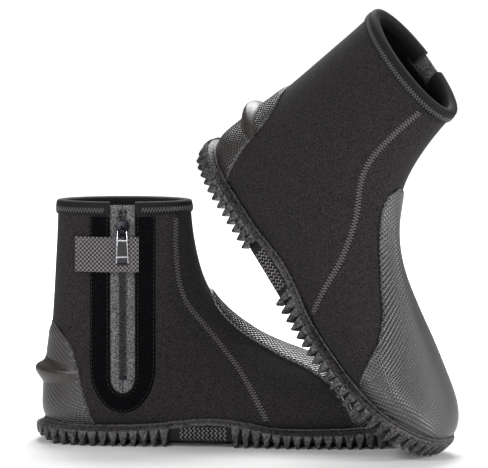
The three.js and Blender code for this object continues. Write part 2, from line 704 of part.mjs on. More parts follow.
function boot(side) {
  const zip = new THREE.Group();
  zip.name = `${side}_zip_frame`;
  zip.position.set(zipFrame.x, zipFrame.y, zipFrame.z);
  zip.rotation.x = -zipTilt;
  zip.add(...meshes(zipPieces, side));
  const group = new THREE.Group();
  group.name = `${side}_boot_frame`;
  group.add(zip, ...meshes(bootPieces, side));
  return group;
}

const leftBoot = boot("left");
const rightBoot = boot("right");
rightBoot.scale.y = -1;

const lean = new THREE.Group();
lean.rotation.set(...[leanRoll, leanPitch, leanYaw].map(THREE.MathUtils.degToRad), "ZYX");
lean.add(rightBoot);

// Stands the leaning boot on its toe, then brings it back towards the left boot until it all but touches.
const shell = (group) => {
  group.updateMatrixWorld(true);
  const parts = ["outsole", "vamp_panel", "toe_guard", "quarter", "strap_ledge", "collar_binding", "heel_guard"];
  const found = [];
  group.traverse((o) => {
    if (o.isMesh && parts.some((p) => o.name.endsWith(p))) found.push(o);
  });
  return found.map((o) => {
    const geometry = o.geometry.clone().applyMatrix4(o.matrixWorld);
    if (o.matrixWorld.determinant() < 0) geometry.setIndex([...geometry.index.array].reverse());
    return solid(geometry);
  });
};
const box = new THREE.Box3().setFromObject(lean, true);
lean.position.set(leanEnd - box.max.x, -far, -box.min.z);
const standing = shell(leftBoot);
const leaning = shell(lean);
const gapAt = (dy) =>
  Math.min(...leaning.flatMap((l) => {
    const moved = l.translate([0, dy, 0]);
    return standing.map((s) => moved.minGap(s, 40));
  }));
let [clear, touching] = [0, far + ballWidth];
while (touching - clear > 0.05) {
  const middle = (clear + touching) / 2;
  if (gapAt(middle) > leanGap) clear = middle;
  else touching = middle;
}
lean.position.y += clear;

const pair = new THREE.Group();
pair.add(leftBoot, lean);
const bounds = new THREE.Box3().setFromObject(pair, true);
const centre = bounds.getCenter(new THREE.Vector3());
pair.position.set(-centre.x, -centre.y, -bounds.min.z);

export default pair;
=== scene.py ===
# %% [markdown]
# # A pair of neoprene water-sports boots
# Two ankle-high boots with a side zip, a closure tab, rubber guards and a lugged sole. One stands on the floor
# and the other leans on it, toe down. The rigid model is loaded first: it fixes every size and every joint, and
# the pieces built below are laid over it.

# %% Load the frame
import json
import math

import bmesh
import bpy
import numpy as np
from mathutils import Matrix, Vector


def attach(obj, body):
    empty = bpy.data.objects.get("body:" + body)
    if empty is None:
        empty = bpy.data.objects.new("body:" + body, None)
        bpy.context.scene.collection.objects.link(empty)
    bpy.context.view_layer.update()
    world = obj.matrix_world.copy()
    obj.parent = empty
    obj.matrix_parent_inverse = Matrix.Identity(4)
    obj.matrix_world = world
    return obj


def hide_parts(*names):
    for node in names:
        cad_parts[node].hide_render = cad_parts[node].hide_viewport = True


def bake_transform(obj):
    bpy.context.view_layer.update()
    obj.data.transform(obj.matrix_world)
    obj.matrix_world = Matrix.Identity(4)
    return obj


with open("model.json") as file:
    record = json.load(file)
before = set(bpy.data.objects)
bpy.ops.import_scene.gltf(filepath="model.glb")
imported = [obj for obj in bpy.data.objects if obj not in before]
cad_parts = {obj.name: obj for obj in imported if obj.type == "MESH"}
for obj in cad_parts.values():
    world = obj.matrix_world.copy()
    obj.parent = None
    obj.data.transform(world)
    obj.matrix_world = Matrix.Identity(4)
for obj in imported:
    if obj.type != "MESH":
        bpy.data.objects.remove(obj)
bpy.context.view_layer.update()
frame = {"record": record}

record = frame["record"]


def new_object(name, data):
    """An object with that data, linked to the scene."""
    obj = bpy.data.objects.new(name, data)
    bpy.context.scene.collection.objects.link(obj)
    return obj

# %% [markdown]
# ## Camera
# A long lens from well back keeps the two boots at nearly one scale. The camera stands a little above the
# collar of the standing boot and looks straight at the zip side.

# %% Camera
camera_distance = 2.5
camera_elevation = math.radians(5.5)
camera_aim = Vector((0.0, 0.0, 0.158))
camera_data = bpy.data.cameras.new("camera")
camera_data.lens = 250
camera_data.clip_end = 20
camera = new_object("camera", camera_data)
away = Vector((0, -math.cos(camera_elevation), math.sin(camera_elevation)))
camera.location = camera_aim + away * camera_distance
camera.rotation_euler = (math.pi / 2 - camera_elevation, 0, 0)
bpy.context.scene.camera = camera
print("camera at", [round(v, 3) for v in camera.location])

# %% [markdown]
# ## Where each boot stands
# Every boot is modelled in its own frame, in millimetres: x from heel to toe, z up from the ground, and -y the
# inner side with the zip. Two known places on each boot, the sole and the strap ledge, give that frame back, and
# the right boot's frame is the mirrored one.

# %% Boot frames
mounts = {m["name"]: m for m in record["mounts"]}
sole_spot = np.array([50.0, 0.0, 0.0])


def boot_matrix(side):
    sole = mounts[f"{side}_sole"]
    up = -np.array(sole["axis"], float)
    up /= np.linalg.norm(up)
    to_strap = np.array(mounts[f"{side}_fin_strap"]["pos_m"], float) - np.array(sole["pos_m"], float)
    forward = -(to_strap - up * to_strap.dot(up))
    forward /= np.linalg.norm(forward)
    across = np.cross(up, forward) * (1 if side == "left" else -1)
    matrix = np.eye(4)
    matrix[:3, :3] = np.stack([forward, across, up], axis=1) * 0.001
    matrix[:3, 3] = np.array(sole["pos_m"], float) - matrix[:3, :3] @ sole_spot
    return matrix


boots = {side: boot_matrix(side) for side in ("left", "right")}
for side, matrix in boots.items():
    print(side, "heel at", np.round(matrix[:3, 3], 3))

# %% [markdown]
# ## The foot form
# A last gives a boot its shape, so the upper is one smooth form: a row of sections from the collar to the toe.
# Each section is a flat plane through a point on the front line and a point on the back or bottom line, and is
# a superellipse, which can be rounder or squarer in its front and back halves.

# %% Sections of the form
sections = np.array(
    [
        # front x, z, back x, z, half width, centre y, widest at, front power, back power
        [115.3, 179, 16.4, 179, 28, 0, 0.5, 2.0, 2.0],
        [117, 160, 15.6, 156, 29.4, 0, 0.5, 2.0, 2.0],
        [119.8, 143, 14.2, 132, 30.8, 0, 0.5, 2.0, 2.0],
        [123.6, 128, 12.8, 108, 32.2, 0, 0.5, 2.0, 2.0],
        [128.6, 115.5, 11, 84, 33.4, 0, 0.5, 2.0, 2.0],
        [134.6, 106.5, 8.2, 61, 34.4, 0, 0.51, 2.0, 2.05],
        [141, 99.5, 6.0, 40, 35.2, 0, 0.53, 2.0, 2.2],
        [148.5, 92.8, 7.4, 20, 35.6, 0, 0.57, 1.95, 2.6],
        [157, 86.5, 22.5, 9.9, 36.4, 0, 0.61, 1.9, 3.0],
        [168, 79.5, 60, 9.3, 37.6, 0, 0.64, 1.9, 3.4],
        [183, 72.5, 100, 9.2, 40, -0.6, 0.66, 1.9, 3.6],
        [203, 65, 148, 9.2, 44.4, -1.6, 0.66, 1.95, 3.6],
        [225, 57.5, 193, 9.2, 47.5, -3, 0.64, 2.0, 3.4],
        [246, 50, 230, 9.6, 46.5, -4.6, 0.62, 2.05, 3.1],
        [262, 44.2, 256, 10.6, 42, -6.2, 0.58, 2.1, 2.7],
        [274, 39.5, 272, 12.3, 34.5, -7.6, 0.55, 2.1, 2.4],
        [283, 33.8, 282, 15.6, 25, -8.6, 0.52, 2.1, 2.2],
        [288, 28.6, 287.6, 19.8, 14, -9, 0.5, 2.1, 2.1],
        [289.6, 24.2, 289.6, 24.2, 0, -9, 0.5, 2.0, 2.0],
    ]
)
last = len(sections) - 1


def section_at(k):
    """The section at k, by a Catmull-Rom curve through the table; before the first it runs straight on."""
    k = np.asarray(k, float)
    i = np.clip(np.floor(k).astype(int), 0, last - 1)
    t = (k - i)[..., None]
    a, b, c, d = (sections[np.clip(i + n, 0, last)] for n in (-1, 0, 1, 2))
    curved = b + 0.5 * t * (c - a + t * (2 * a - 5 * b + 4 * c - d + t * (3 * (b - c) + d - a)))
    straight = sections[0] + t * (sections[1] - sections[0])
    return np.where((k < 0)[..., None], straight, curved)


def surface(k, turn):
    """Points of the form: turn 0 is its front line, pi its back or bottom line; the inner side lies past pi."""
    k, turn = np.broadcast_arrays(np.asarray(k, float), np.asarray(turn, float))
    fx, fz, bx, bz, width, centre, widest, front, back = np.moveaxis(section_at(k), -1, 0)
    c, s = -np.cos(turn), np.sin(turn)
    power = np.where(c < 0, front, back)
    r = (np.abs(c) ** power + np.abs(s) ** power) ** (-1 / power)
    share = widest + c * r * np.where(c < 0, widest, 1 - widest)
    return np.stack([fx + (bx - fx) * share, centre + s * r * width, fz + (bz - fz) * share], -1)


def outward(k, turn):
    step = 0.02
    high = np.minimum(np.asarray(k, float) + step, last - step)
    along = surface(high, turn) - surface(high - 2 * step, turn)
    around = surface(k, turn + step) - surface(k, turn - step)
    n = np.cross(along, around)
    return n / np.linalg.norm(n, axis=-1, keepdims=True)


def skin(k, turn, off):
    """Points off millimetres outside the form."""
    k, turn = np.broadcast_arrays(np.asarray(k, float), np.asarray(turn, float))
    return surface(k, turn) + outward(k, turn) * np.asarray(off, float)[..., None]


def turn_at(k, share):
    """The turn, on the outer side, of a point that far along the section's line from front to back."""
    widest, front, back = np.moveaxis(section_at(k), -1, 0)[6:9]
    ahead = share < widest
    u = np.clip(np.abs(share - widest) / np.where(ahead, widest, 1 - widest), 0, 1)
    power = np.where(ahead, front, back)
    angle = np.arctan2((1 - u**power) ** (1 / power), u)
    return np.where(ahead, angle, np.pi - angle)


def locate(x, z):
    """The section and turn of points of the side view, on the outer side."""
    x, z = np.broadcast_arrays(np.asarray(x, float), np.asarray(z, float))
    low, high = np.full(x.shape, -0.5), np.full(x.shape, float(last))
    for _ in range(34):
        k = (low + high) / 2
        fx, fz, bx, bz = np.moveaxis(section_at(k), -1, 0)[:4]
        past = (bx - fx) * (z - fz) - (bz - fz) * (x - fx) > 0
        low, high = np.where(past, k, low), np.where(past, high, k)
    k = (low + high) / 2
    fx, fz, bx, bz = np.moveaxis(section_at(k), -1, 0)[:4]
    length = np.maximum((bx - fx) ** 2 + (bz - fz) ** 2, 1e-6)
    share = ((x - fx) * (bx - fx) + (z - fz) * (bz - fz)) / length
    return k, share


whole_form = surface(np.linspace(0, last, 60)[:, None], np.linspace(0, 2 * np.pi, 60))
print("form is", np.ptp(whole_form, axis=(0, 1)).round(1))


def lengths_along(points):
    """How far along a line of points each one lies."""
    return np.concatenate([[0], np.cumsum(np.linalg.norm(np.diff(points, axis=0), axis=-1))])


def at_marks(marks, length, values):
    return np.stack([np.interp(marks, length, column) for column in np.asarray(values).T], -1)


def resample(line, count):
    length = lengths_along(line)
    return at_marks(np.linspace(0, length[-1], count), length, line)

# %% [markdown]
# ## Pattern lines
# Panels are cut along lines drawn in the side view. Where such a line crosses a section tells how far round the
# form the panel's edge lies there, so each panel can be a clean grid that ends exactly on its seam.

# %% Lines of the side view
def smooth_line(points, count=160):
    """A Catmull-Rom curve through points, evenly split."""
    p = np.array(points, float)
    p = np.vstack([2 * p[0] - p[1], p, 2 * p[-1] - p[-2]])
    t = np.linspace(0, len(points) - 1.0001, count)
    i = t.astype(int)
    f = (t - i)[:, None]
    a, b, c, d = p[i], p[i + 1], p[i + 2], p[i + 3]
    return b + 0.5 * f * (c - a + f * (2 * a - 5 * b + 4 * c - d + f * (3 * (b - c) + d - a)))


front_seam = smooth_line([(105.4, 195), (105, 141), (111, 109), (131, 82.5), (153, 54.7), (168.8, 26.8), (177, 8)])
toe_edge = smooth_line([(127, 124), (134, 102), (151, 83.4), (178, 67), (204, 55), (224, 40), (238, 12)])
heel_edge = smooth_line([(-8, 92), (13, 89), (23, 79), (29.5, 66.5), (36, 40), (46, 12)])
rand_line = smooth_line(
    [(-12, 19), (40, 15.6), (85, 17), (125, 21.5), (152, 20), (185, 14.4), (235, 15.4), (272, 21), (304, 29)]
)


def rand_height(x):
    return np.interp(x, rand_line[:, 0], rand_line[:, 1])


def crossing(k, line):
    """How far along its section's line, front to back, a pattern line crosses it; nan where it doesn't."""
    fx, fz, bx, bz = section_at(k)[:4]
    side = (bx - fx) * (line[:, 1] - fz) - (bz - fz) * (line[:, 0] - fx)
    hit = np.nonzero(side[:-1] * side[1:] <= 0)[0]
    for i in hit:
        t = side[i] / (side[i] - side[i + 1])
        x, z = line[i] + t * (line[i + 1] - line[i])
        share = ((x - fx) * (bx - fx) + (z - fz) * (bz - fz)) / ((bx - fx) ** 2 + (bz - fz) ** 2)
        if -0.001 <= share <= 1.001:
            return share
    return np.nan


def edge_turns(rows, line):
    """The turn of a pattern line on each row of sections, on the outer side, nan where it misses."""
    shares = np.array([crossing(k, line) for k in rows])
    turns = turn_at(rows, np.clip(np.nan_to_num(shares, nan=0.5), 0, 1))
    return np.where(np.isnan(shares), np.nan, turns)


def span_of(line):
    """The first and last section that a pattern line crosses."""
    rows = np.linspace(-0.2, last - 0.1, 1400)
    found = rows[~np.isnan(edge_turns(rows, line))]
    return found[0], found[-1]


seam_span, toe_span, heel_span = (span_of(line) for line in (front_seam, toe_edge, heel_edge))
print("seam", seam_span, "toe guard", toe_span, "heel guard", heel_span)

# %% [markdown]
# ## Making meshes
# One helper turns points and faces into an object. Points are in a boot's own millimetres and are put in their
# final place in the mesh, so every object sits at the origin. The right boot's frame is mirrored, which turns
# faces round, so its faces are listed the other way.

# %% Mesh helpers
def to_world(side, points):
    matrix = boots[side]
    return np.asarray(points, float).reshape(-1, 3) @ matrix[:3, :3].T + matrix[:3, 3]


def smooth_faces(mesh, sharp):
    mesh.shade_smooth()
    mesh.set_sharp_from_angle(angle=math.radians(sharp))


def face_out(mesh):
    """Turns every face of a closed mesh outward."""
    bm = bmesh.new()
    bm.from_mesh(mesh)
    bmesh.ops.recalc_face_normals(bm, faces=bm.faces)
    bm.to_mesh(mesh)
    bm.free()


def second_material(mesh, material, first, end):
    """Gives the faces from first to end a second material."""
    mesh.materials.append(material)
    index = np.zeros(len(mesh.polygons), np.int32)
    index[first:end] = 1
    mesh.polygons.foreach_set("material_index", index)


def plain(obj):
    """Replaces an object's modifiers by the plain mesh they make."""
    made = bpy.data.meshes.new_from_object(obj.evaluated_get(bpy.context.evaluated_depsgraph_get()))
    obj.modifiers.clear()
    obj.data = made


def make(name, side, points, faces, material, uv=None, sharp=40):
    """An object from points in one boot's millimetres; uv gives a pair of millimetres for each point."""
    mesh = bpy.data.meshes.new(name)
    faces = [list(f) for f in faces]
    if side == "right":
        faces = [f[::-1] for f in faces]
    mesh.from_pydata(to_world(side, points).tolist(), [], faces)
    if uv is not None:
        layer = mesh.uv_layers.new(name="millimetres")
        index = np.empty(len(mesh.loops), int)
        mesh.loops.foreach_get("vertex_index", index)
        layer.data.foreach_set("uv", np.asarray(uv, float).reshape(-1, 2)[index].ravel())
    mesh.validate()
    smooth_faces(mesh, sharp)
    mesh.materials.append(material)
    return new_object(name, mesh)


def grid_faces(rows, columns, start=0, wrap=False, flip=False):
    """Quads of a grid of points, row by row."""
    faces = []
    for r in range(rows - 1):
        for c in range(columns if wrap else columns - 1):
            d = (c + 1) % columns
            face = (start + r * columns + c, start + (r + 1) * columns + c)
            face += (start + (r + 1) * columns + d, start + r * columns + d)
            faces.append(face[::-1] if flip else face)
    return faces


def slab(outer, inner):
    """Points and faces of a closed sheet between two grids of the same size."""
    rows, columns = outer.shape[:2]
    half = rows * columns
    faces = grid_faces(rows, columns) + grid_faces(rows, columns, half, flip=True)
    for r in range(rows - 1):
        a, b = r * columns, (r + 1) * columns
        faces.append((a, half + a, half + b, b))
        faces.append((a + columns - 1, b + columns - 1, half + b + columns - 1, half + a + columns - 1))
    for c in range(columns - 1):
        e = half - columns + c
        faces.append((c, c + 1, half + c + 1, half + c))
        faces.append((e, half + e, half + e + 1, e + 1))
    return np.concatenate([outer.reshape(-1, 3), inner.reshape(-1, 3)]), faces


def grid_uv(grid):
    """Millimetres along and across a grid of points."""
    across = np.zeros(grid.shape[:2])
    across[:, 1:] = np.cumsum(np.linalg.norm(np.diff(grid, axis=1), axis=-1), axis=1)
    across -= across[:, across.shape[1] // 2][:, None]
    along = np.zeros(grid.shape[:2])
    along[1:] = np.cumsum(np.linalg.norm(np.diff(grid, axis=0), axis=-1), axis=0)
    along[:] = np.median(along, axis=1)[:, None]
    return np.stack([across, along], -1)


def finish_piece(obj, side, nodes, body="boot"):
    """Hands a finished piece to the frame: what it rides on, and the nodes it stands for if any."""
    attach(obj, f"{side}_{body}")
    if nodes:
        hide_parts(*[f"{side}_{n}" for n in nodes])
    return obj


def join(name, pieces):
    """Several plain meshes made one."""
    with bpy.context.temp_override(
        active_object=pieces[0], selected_objects=pieces, selected_editable_objects=pieces
    ):
        bpy.ops.object.join()
    pieces[0].name = name
    pieces[0].data.name = name
    return pieces[0]


# %% [markdown]
# ## Materials
# Colours are written as the hex values a maker would pick and are turned to linear light in one place. One
# function adds a node, sets it and links it.

# %% Colour and node helpers
def linear(hex_colour):
    """An sRGB hex value as linear red, green, blue and alpha."""
    parts = [int(hex_colour[i : i + 2], 16) / 255 for i in (0, 2, 4)]
    return [p / 12.92 if p <= 0.04045 else ((p + 0.055) / 1.055) ** 2.4 for p in parts] + [1]


def add(tree, kind, settings=None, **inputs):
    """Adds a node. Inputs are named with _ for a space or numbered n0, n1; each is a value or another's socket."""
    made = tree.nodes.new(kind)
    for key, value in (settings or {}).items():
        setattr(made, key, value)
    for key, value in inputs.items():
        numbered = key[0] == "n" and key[1:].isdigit()
        socket = made.inputs[int(key[1:]) if numbered else key.replace("_", " ")]
        if isinstance(value, bpy.types.NodeSocket):
            tree.links.new(value, socket)
        else:
            socket.default_value = value
    return made


def new_material(name, colour, roughness, metallic=0.0, ior=1.5, sheen=0.0, specular=0.5):
    """A material with its shader, ready for patterns: returns the material, its tree and the shader."""
    material = bpy.data.materials.new(name)
    material.use_nodes = True
    tree = material.node_tree
    tree.nodes.clear()
    shader = add(
        tree,
        "ShaderNodeBsdfPrincipled",
        Base_Color=linear(colour),
        Roughness=roughness,
        Metallic=metallic,
        IOR=ior,
        Sheen_Weight=sheen,
        Specular_IOR_Level=specular,
    )
    shader.inputs["Sheen Roughness"].default_value = 0.5
    add(tree, "ShaderNodeOutputMaterial", Surface=shader.outputs[0])
    return material, tree, shader


def tint(tree, shader, height, dark, light, low, high):
    """Colours a pattern: dark where it is below low and light where it is above high."""
    ramp = add(tree, "ShaderNodeValToRGB", Fac=height)
    for i, (position, colour) in enumerate(((low, dark), (high, light))):
        stop = ramp.color_ramp.elements[i]
        stop.position, stop.color = position, linear(colour)
    tree.links.new(ramp.outputs["Color"], shader.inputs["Base Color"])


def speckle(tree, shader, dark, light, grain_mm, low=0.35, high=0.65, detail=2.0):
    """Mixes two colours by noise of a grain in millimetres, on the object's own coordinates."""
    place = add(tree, "ShaderNodeTexCoord").outputs["Object"]
    noise = add(tree, "ShaderNodeTexNoise", Vector=place, Scale=1000 / grain_mm, Detail=detail).outputs["Fac"]
    tint(tree, shader, noise, dark, light, low, high)
    return noise


def emboss(tree, shader, height, depth_mm, strength=1.0):
    """Turns a height from 0 to 1 into relief of that depth."""
    bump = add(tree, "ShaderNodeBump", Height=height, Distance=depth_mm / 1000, Strength=strength)
    tree.links.new(bump.outputs["Normal"], shader.inputs["Normal"])


def calc(tree, operation, a, b=0.0):
    return add(tree, "ShaderNodeMath", {"operation": operation}, n0=a, n1=b).outputs[0]


def weave(tree, repeat_mm):
    """A height that rises and falls across and along the piece's own millimetres, as woven yarns do."""
    uv = add(tree, "ShaderNodeUVMap", {"uv_map": "millimetres"}).outputs["UV"]
    parts = add(tree, "ShaderNodeSeparateXYZ", Vector=uv).outputs
    waves = [calc(tree, "SINE", calc(tree, "MULTIPLY", parts[way], 2 * math.pi / repeat_mm)) for way in "XY"]
    both = calc(tree, "MULTIPLY", *waves)
    return calc(tree, "ADD", calc(tree, "MULTIPLY", both, 0.5), 0.5)


# %% [markdown]
# ### Neoprene faced with knitted nylon
# Foam rubber with a thin jersey glued on. The jersey is charcoal with pale flecks about 0.7 mm across, matt, and
# has a soft bloom at grazing angles. The jersey inside is plain black.

# %% Neoprene
nylon_neoprene, tree, shader = new_material("neoprene_nylon_jersey", "262426", 0.88, sheen=0.06, specular=0.15)
fleck = speckle(tree, shader, "090809", "403c3f", 0.7, 0.36, 0.74, 3.0)
emboss(tree, shader, fleck, 0.25, 0.6)

lining, tree, shader = new_material("neoprene_lining_jersey", "171618", 0.95, sheen=0.1, specular=0.2)
emboss(tree, shader, speckle(tree, shader, "121113", "1e1d20", 1.0), 0.2, 0.4)

# %% [markdown]
# ### Embossed rubber guards
# Rubber pressed on a coarse cloth, which leaves rows of small diamonds about 1.7 mm apart. It is smoother than
# the neoprene, so it takes a broad soft highlight. Over the diamonds a painted highlight makes their raised tops
# pale, and painted shade makes the grooves between them dark. The heel is a warmer black than the toe, and the
# strap ledge on it has a plain grain.

# %% Guard rubber
def guard_rubber(name, dark, light, roughness):
    material, tree, shader = new_material(name, light, roughness, ior=1.52, specular=0.9)
    height = weave(tree, 3.3)
    # Painted light: the weave's raised tops take the light colour as a highlight, and its grooves take the dark one as
    # shade.
    tint(tree, shader, height, dark, light, 0.4, 0.85)
    emboss(tree, shader, height, 0.5, 1.0)
    return material


toe_rubber = guard_rubber("embossed_rubber_toe", "070608", "4c494e", 0.34)
heel_rubber = guard_rubber("embossed_rubber_heel", "070605", "352d29", 0.36)

ledge_rubber, tree, shader = new_material("moulded_ledge_rubber", "1d1917", 0.42, ior=1.52, specular=0.6)
emboss(tree, shader, speckle(tree, shader, "0f0c0b", "37302c", 1.3, 0.35, 0.7), 0.3, 0.4)

# %% [markdown]
# ### Moulded outsole rubber
# Compression-moulded black rubber with a faint dusty bloom, nearly matt. The teeth and lugs are a little lighter
# where they are worn and the ribs of the arch are scuffed pale. The wall behind the teeth is painted near black as
# the shade that falls between the teeth.

# %% Outsole rubber
sole_rubber, tree, shader = new_material("moulded_sole_rubber", "1c1a1b", 0.5, ior=1.52, specular=0.45)
dust = speckle(tree, shader, "100f10", "595456", 1.6, 0.4, 0.72, 5.0)
emboss(tree, shader, dust, 0.8, 0.55)
tooth_rubber, tree, shader = new_material("moulded_tooth_rubber", "2b2829", 0.45, ior=1.52, specular=0.5)
emboss(tree, shader, speckle(tree, shader, "0f0e0e", "625d5f", 1.8, 0.42, 0.7, 5.0), 0.8, 0.6)
rib_rubber, tree, shader = new_material("scuffed_rib_rubber", "7b7678", 0.5, ior=1.52, specular=0.5)
speckle(tree, shader, "5a5658", "a09b9d", 1.2, 0.35, 0.7)
# Painted shade: the wall behind the teeth gets this near-black rubber in place of the shade that falls there.
shade_wall_rubber, tree, shader = new_material("painted_shade_sole_rubber", "0d0c0c", 0.6, ior=1.52, specular=0.25)
speckle(tree, shader, "090808", "161515", 2.2)

# %% [markdown]
# ### Woven and plush trims
# The collar is bound with folded nylon tape, the zip runs in fine tape whose yarns show as a pale speckle, the tab
# is heavier twill, and the strip round the zip is loop pile that drinks light.

# %% Trims
binding_tape, tree, shader = new_material("folded_nylon_tape", "121113", 0.7, sheen=0.03, specular=0.2)
height = weave(tree, 1.4)
# Painted shade: the dips of the weave are coloured darker and its raised yarns lighter.
tint(tree, shader, height, "0a090b", "1d1b1e", 0.2, 0.9)
emboss(tree, shader, height, 0.15, 0.5)

loop_pile, tree, shader = new_material("loop_pile_plush", "060607", 1.0, sheen=0.02, specular=0.05)
emboss(tree, shader, speckle(tree, shader, "030304", "0f0e11", 1.4, 0.35, 0.72, 4.0), 0.8, 0.8)

zip_weave, tree, shader = new_material("woven_zip_tape", "454346", 0.85, sheen=0.03, specular=0.2)
emboss(tree, shader, speckle(tree, shader, "222123", "8b888a", 1.0, 0.36, 0.68, 3.0), 0.3, 0.6)

twill, tree, shader = new_material("nylon_twill_webbing", "4a484b", 0.85, sheen=0.03, specular=0.2)
height = weave(tree, 3.2)
# Painted shade and highlight: the dips of the twill are coloured dark and its raised yarns pale.
tint(tree, shader, height, "201e20", "837e81", 0.25, 0.9)
emboss(tree, shader, height, 0.3, 0.7)

hook_tape, tree, shader = new_material("hook_tape_nylon", "161517", 0.85, specular=0.2)
emboss(tree, shader, speckle(tree, shader, "0d0d0e", "242326", 1.5), 0.6, 0.8)

grey_thread = new_material("grey_nylon_thread", "6c686a", 0.5)[0]
black_thread = new_material("black_nylon_thread", "5d595b", 0.4)[0]
hidden_thread = new_material("blind_nylon_thread", "141315", 0.7)[0]
zip_teeth = new_material("moulded_acetal_teeth", "060606", 0.22, ior=1.5, specular=0.6)[0]
dark_zinc = new_material("dark_plated_zinc", "26262a", 0.3, metallic=1.0)[0]
bright_zinc = new_material("bright_plated_zinc", "b9bbbf", 0.25, metallic=1.0)[0]
puller_insert = new_material("moulded_pvc_insert", "101011", 0.5, ior=1.52)[0]
foam, tree, shader = new_material("faced_eva_foam", "201f20", 0.9, sheen=0.1)
emboss(tree, shader, speckle(tree, shader, "1a191a", "2a292a", 1.6), 0.2, 0.4)
print("materials:", len(bpy.data.materials))

# %% [markdown]
# ## Panels of the upper
# Each panel is cut from 5 mm sheet and butt-glued to the next, so its edge rolls in slightly and leaves a fine
# groove at the seam. A grid with extra columns close to its edges can make that roll.

# %% Panels on the form
neoprene_mm, edge_roll = 5.0, 0.9


def ease(value, low, high):
    """From 0 at low to 1 at high, smoothly."""
    t = np.clip((value - low) / (high - low), 0, 1)
    return t * t * (3 - 2 * t)


edge_marks = np.array([0.0, 0.3, 0.8, 1.5, 2.6])
edge_drop = np.array([1.0, 0.62, 0.3, 0.1, 0.0])


def spread(rows, start, end, count):
    """Turns of a grid between two edges, evenly spread by length, with extra columns beside rolled edges."""
    turns, drops = [], []
    for k, a, b in zip(rows, start, end):
        fine = np.linspace(a, b, 90)
        length = lengths_along(surface(k, fine))
        total = max(length[-1], 1e-6)
        scale = min(1.0, total / 8)
        first, final = edge_marks * scale, total - edge_marks[::-1] * scale
        middle = np.linspace(first[-1], final[0], count + 2)[1:-1]
        turns.append(np.interp(np.concatenate([first, middle, final]), length, fine))
        drops.append(np.concatenate([edge_drop, 0 * middle, edge_drop[::-1]]))
    return np.array(turns), np.array(drops)


def sheet(name, side, top, bottom, flat, material):
    """A closed sheet between two grids, with the millimetres of a third grid laid over both."""
    points, faces = slab(top, bottom)
    return make(name, side, points, faces, material, np.concatenate([grid_uv(flat).reshape(-1, 2)] * 2))


def panel(name, side, rows, turns, outer, inner, material):
    """A closed sheet over a grid of sections and turns; outer is a height for each point."""
    k = np.asarray(rows)[:, None] + np.zeros_like(turns)
    return sheet(name, side, skin(k, turns, outer), skin(k, turns, inner), surface(k, turns), material)


def foam_panel(name, side, rows, turns, drops):
    """A panel of faced foam: its outer face drops at its edges, and its inner face is lining."""
    obj = panel(f"{side}_{name}", side, rows, turns, -edge_roll * drops, -neoprene_mm, nylon_neoprene)
    quads = (turns.shape[0] - 1) * (turns.shape[1] - 1)
    second_material(obj.data, lining, quads, 2 * quads)
    return obj


def run_under(rows, line):
    """A pattern line's turns on rows of sections. Where the rand hides it, the line eases on to the bottom line,
    so that a panel's grid closes evenly; the last result falls from 1 to 0 along that stretch."""
    turns = edge_turns(rows, line)
    rows, turns = rows[~np.isnan(turns)], turns[~np.isnan(turns)]
    at = surface(rows, turns)
    first = int(np.nonzero((at[:, 2] < rand_height(at[:, 0]) - 0.5) & (rows > 6))[0][0])
    t = np.linspace(0, 1, 16)[1:]
    eased = turns[first] + (np.pi - turns[first]) * (1 - (1 - t) ** 2)
    rows = np.concatenate([rows[: first + 1], rows[first] + 1.3 * t])
    return rows, np.concatenate([turns[: first + 1], eased]), np.concatenate([np.ones(first + 1), 1 - t])


seam_rows, seam_turns, seam_fade = run_under(
    np.concatenate([np.linspace(0, 8, 70), np.linspace(8.1, seam_span[1] - 0.02, 40)]), front_seam
)
toe_rows = np.concatenate([np.linspace(seam_rows[-1] + 0.12, 16.9, 50), np.linspace(17, 17.97, 14)])


def make_vamp(side):
    rows = np.concatenate([seam_rows, toe_rows])
    edge = np.concatenate([seam_turns, np.full(len(toe_rows), np.pi)])
    turns, drops = spread(rows, -edge, edge, 70)
    drops[: len(seam_rows)] *= seam_fade[:, None]
    drops[len(seam_rows) :] = 0
    obj = foam_panel("vamp_panel", side, rows, turns, drops)
    return finish_piece(obj, side, ["vamp_panel", "sole_panel"])


quarter_rows, quarter_turns = seam_rows[seam_turns < 3.0], seam_turns[seam_turns < 3.0]


def make_lateral_quarter(side):
    grid = spread(quarter_rows, quarter_turns, np.full(len(quarter_rows), np.pi), 46)
    obj = foam_panel("lateral_quarter", side, quarter_rows, *grid)
    return finish_piece(obj, side, ["lateral_quarter"])


# %% [markdown]
# The inner quarter has the zip opening: a long slot with a round foot. A prism with that outline, drawn in the
# side view, is cut out of the finished panel.

# %% The zip opening
zip_x, slot_half, slot_foot, slot_round = 65.4, 9.3, 39.0, 12.0


def u_outline(half, foot, round_height, top, count=14):
    """A U in the side view, from the top of its rear leg round the foot to the top of its front leg."""
    angles = np.linspace(np.pi, 2 * np.pi, count)
    arc = np.stack([zip_x + half * np.cos(angles), foot + round_height + round_height * np.sin(angles)], -1)
    return np.vstack([[zip_x - half, top], arc, [zip_x + half, top]])


def make_medial_quarter(side):
    grid = spread(quarter_rows, np.full(len(quarter_rows), np.pi), 2 * np.pi - quarter_turns, 60)
    obj = foam_panel("medial_quarter", side, quarter_rows, *grid)
    outline = u_outline(slot_half, slot_foot, slot_round, 220)
    n = len(outline)
    points = [(x, y, z) for y in (-90, -5) for x, z in outline]
    faces = [[i, (i + 1) % n, n + (i + 1) % n, n + i] for i in range(n)]
    cutter = make("cutter", side, points, faces + [list(range(n))[::-1], list(range(n, 2 * n))], lining)
    face_out(cutter.data)
    cut = obj.modifiers.new("zip_opening", "BOOLEAN")
    cut.object, cut.operation, cut.solver = cutter, "DIFFERENCE", "EXACT"
    plain(obj)
    bpy.data.objects.remove(cutter)
    return finish_piece(obj, side, ["medial_quarter"])


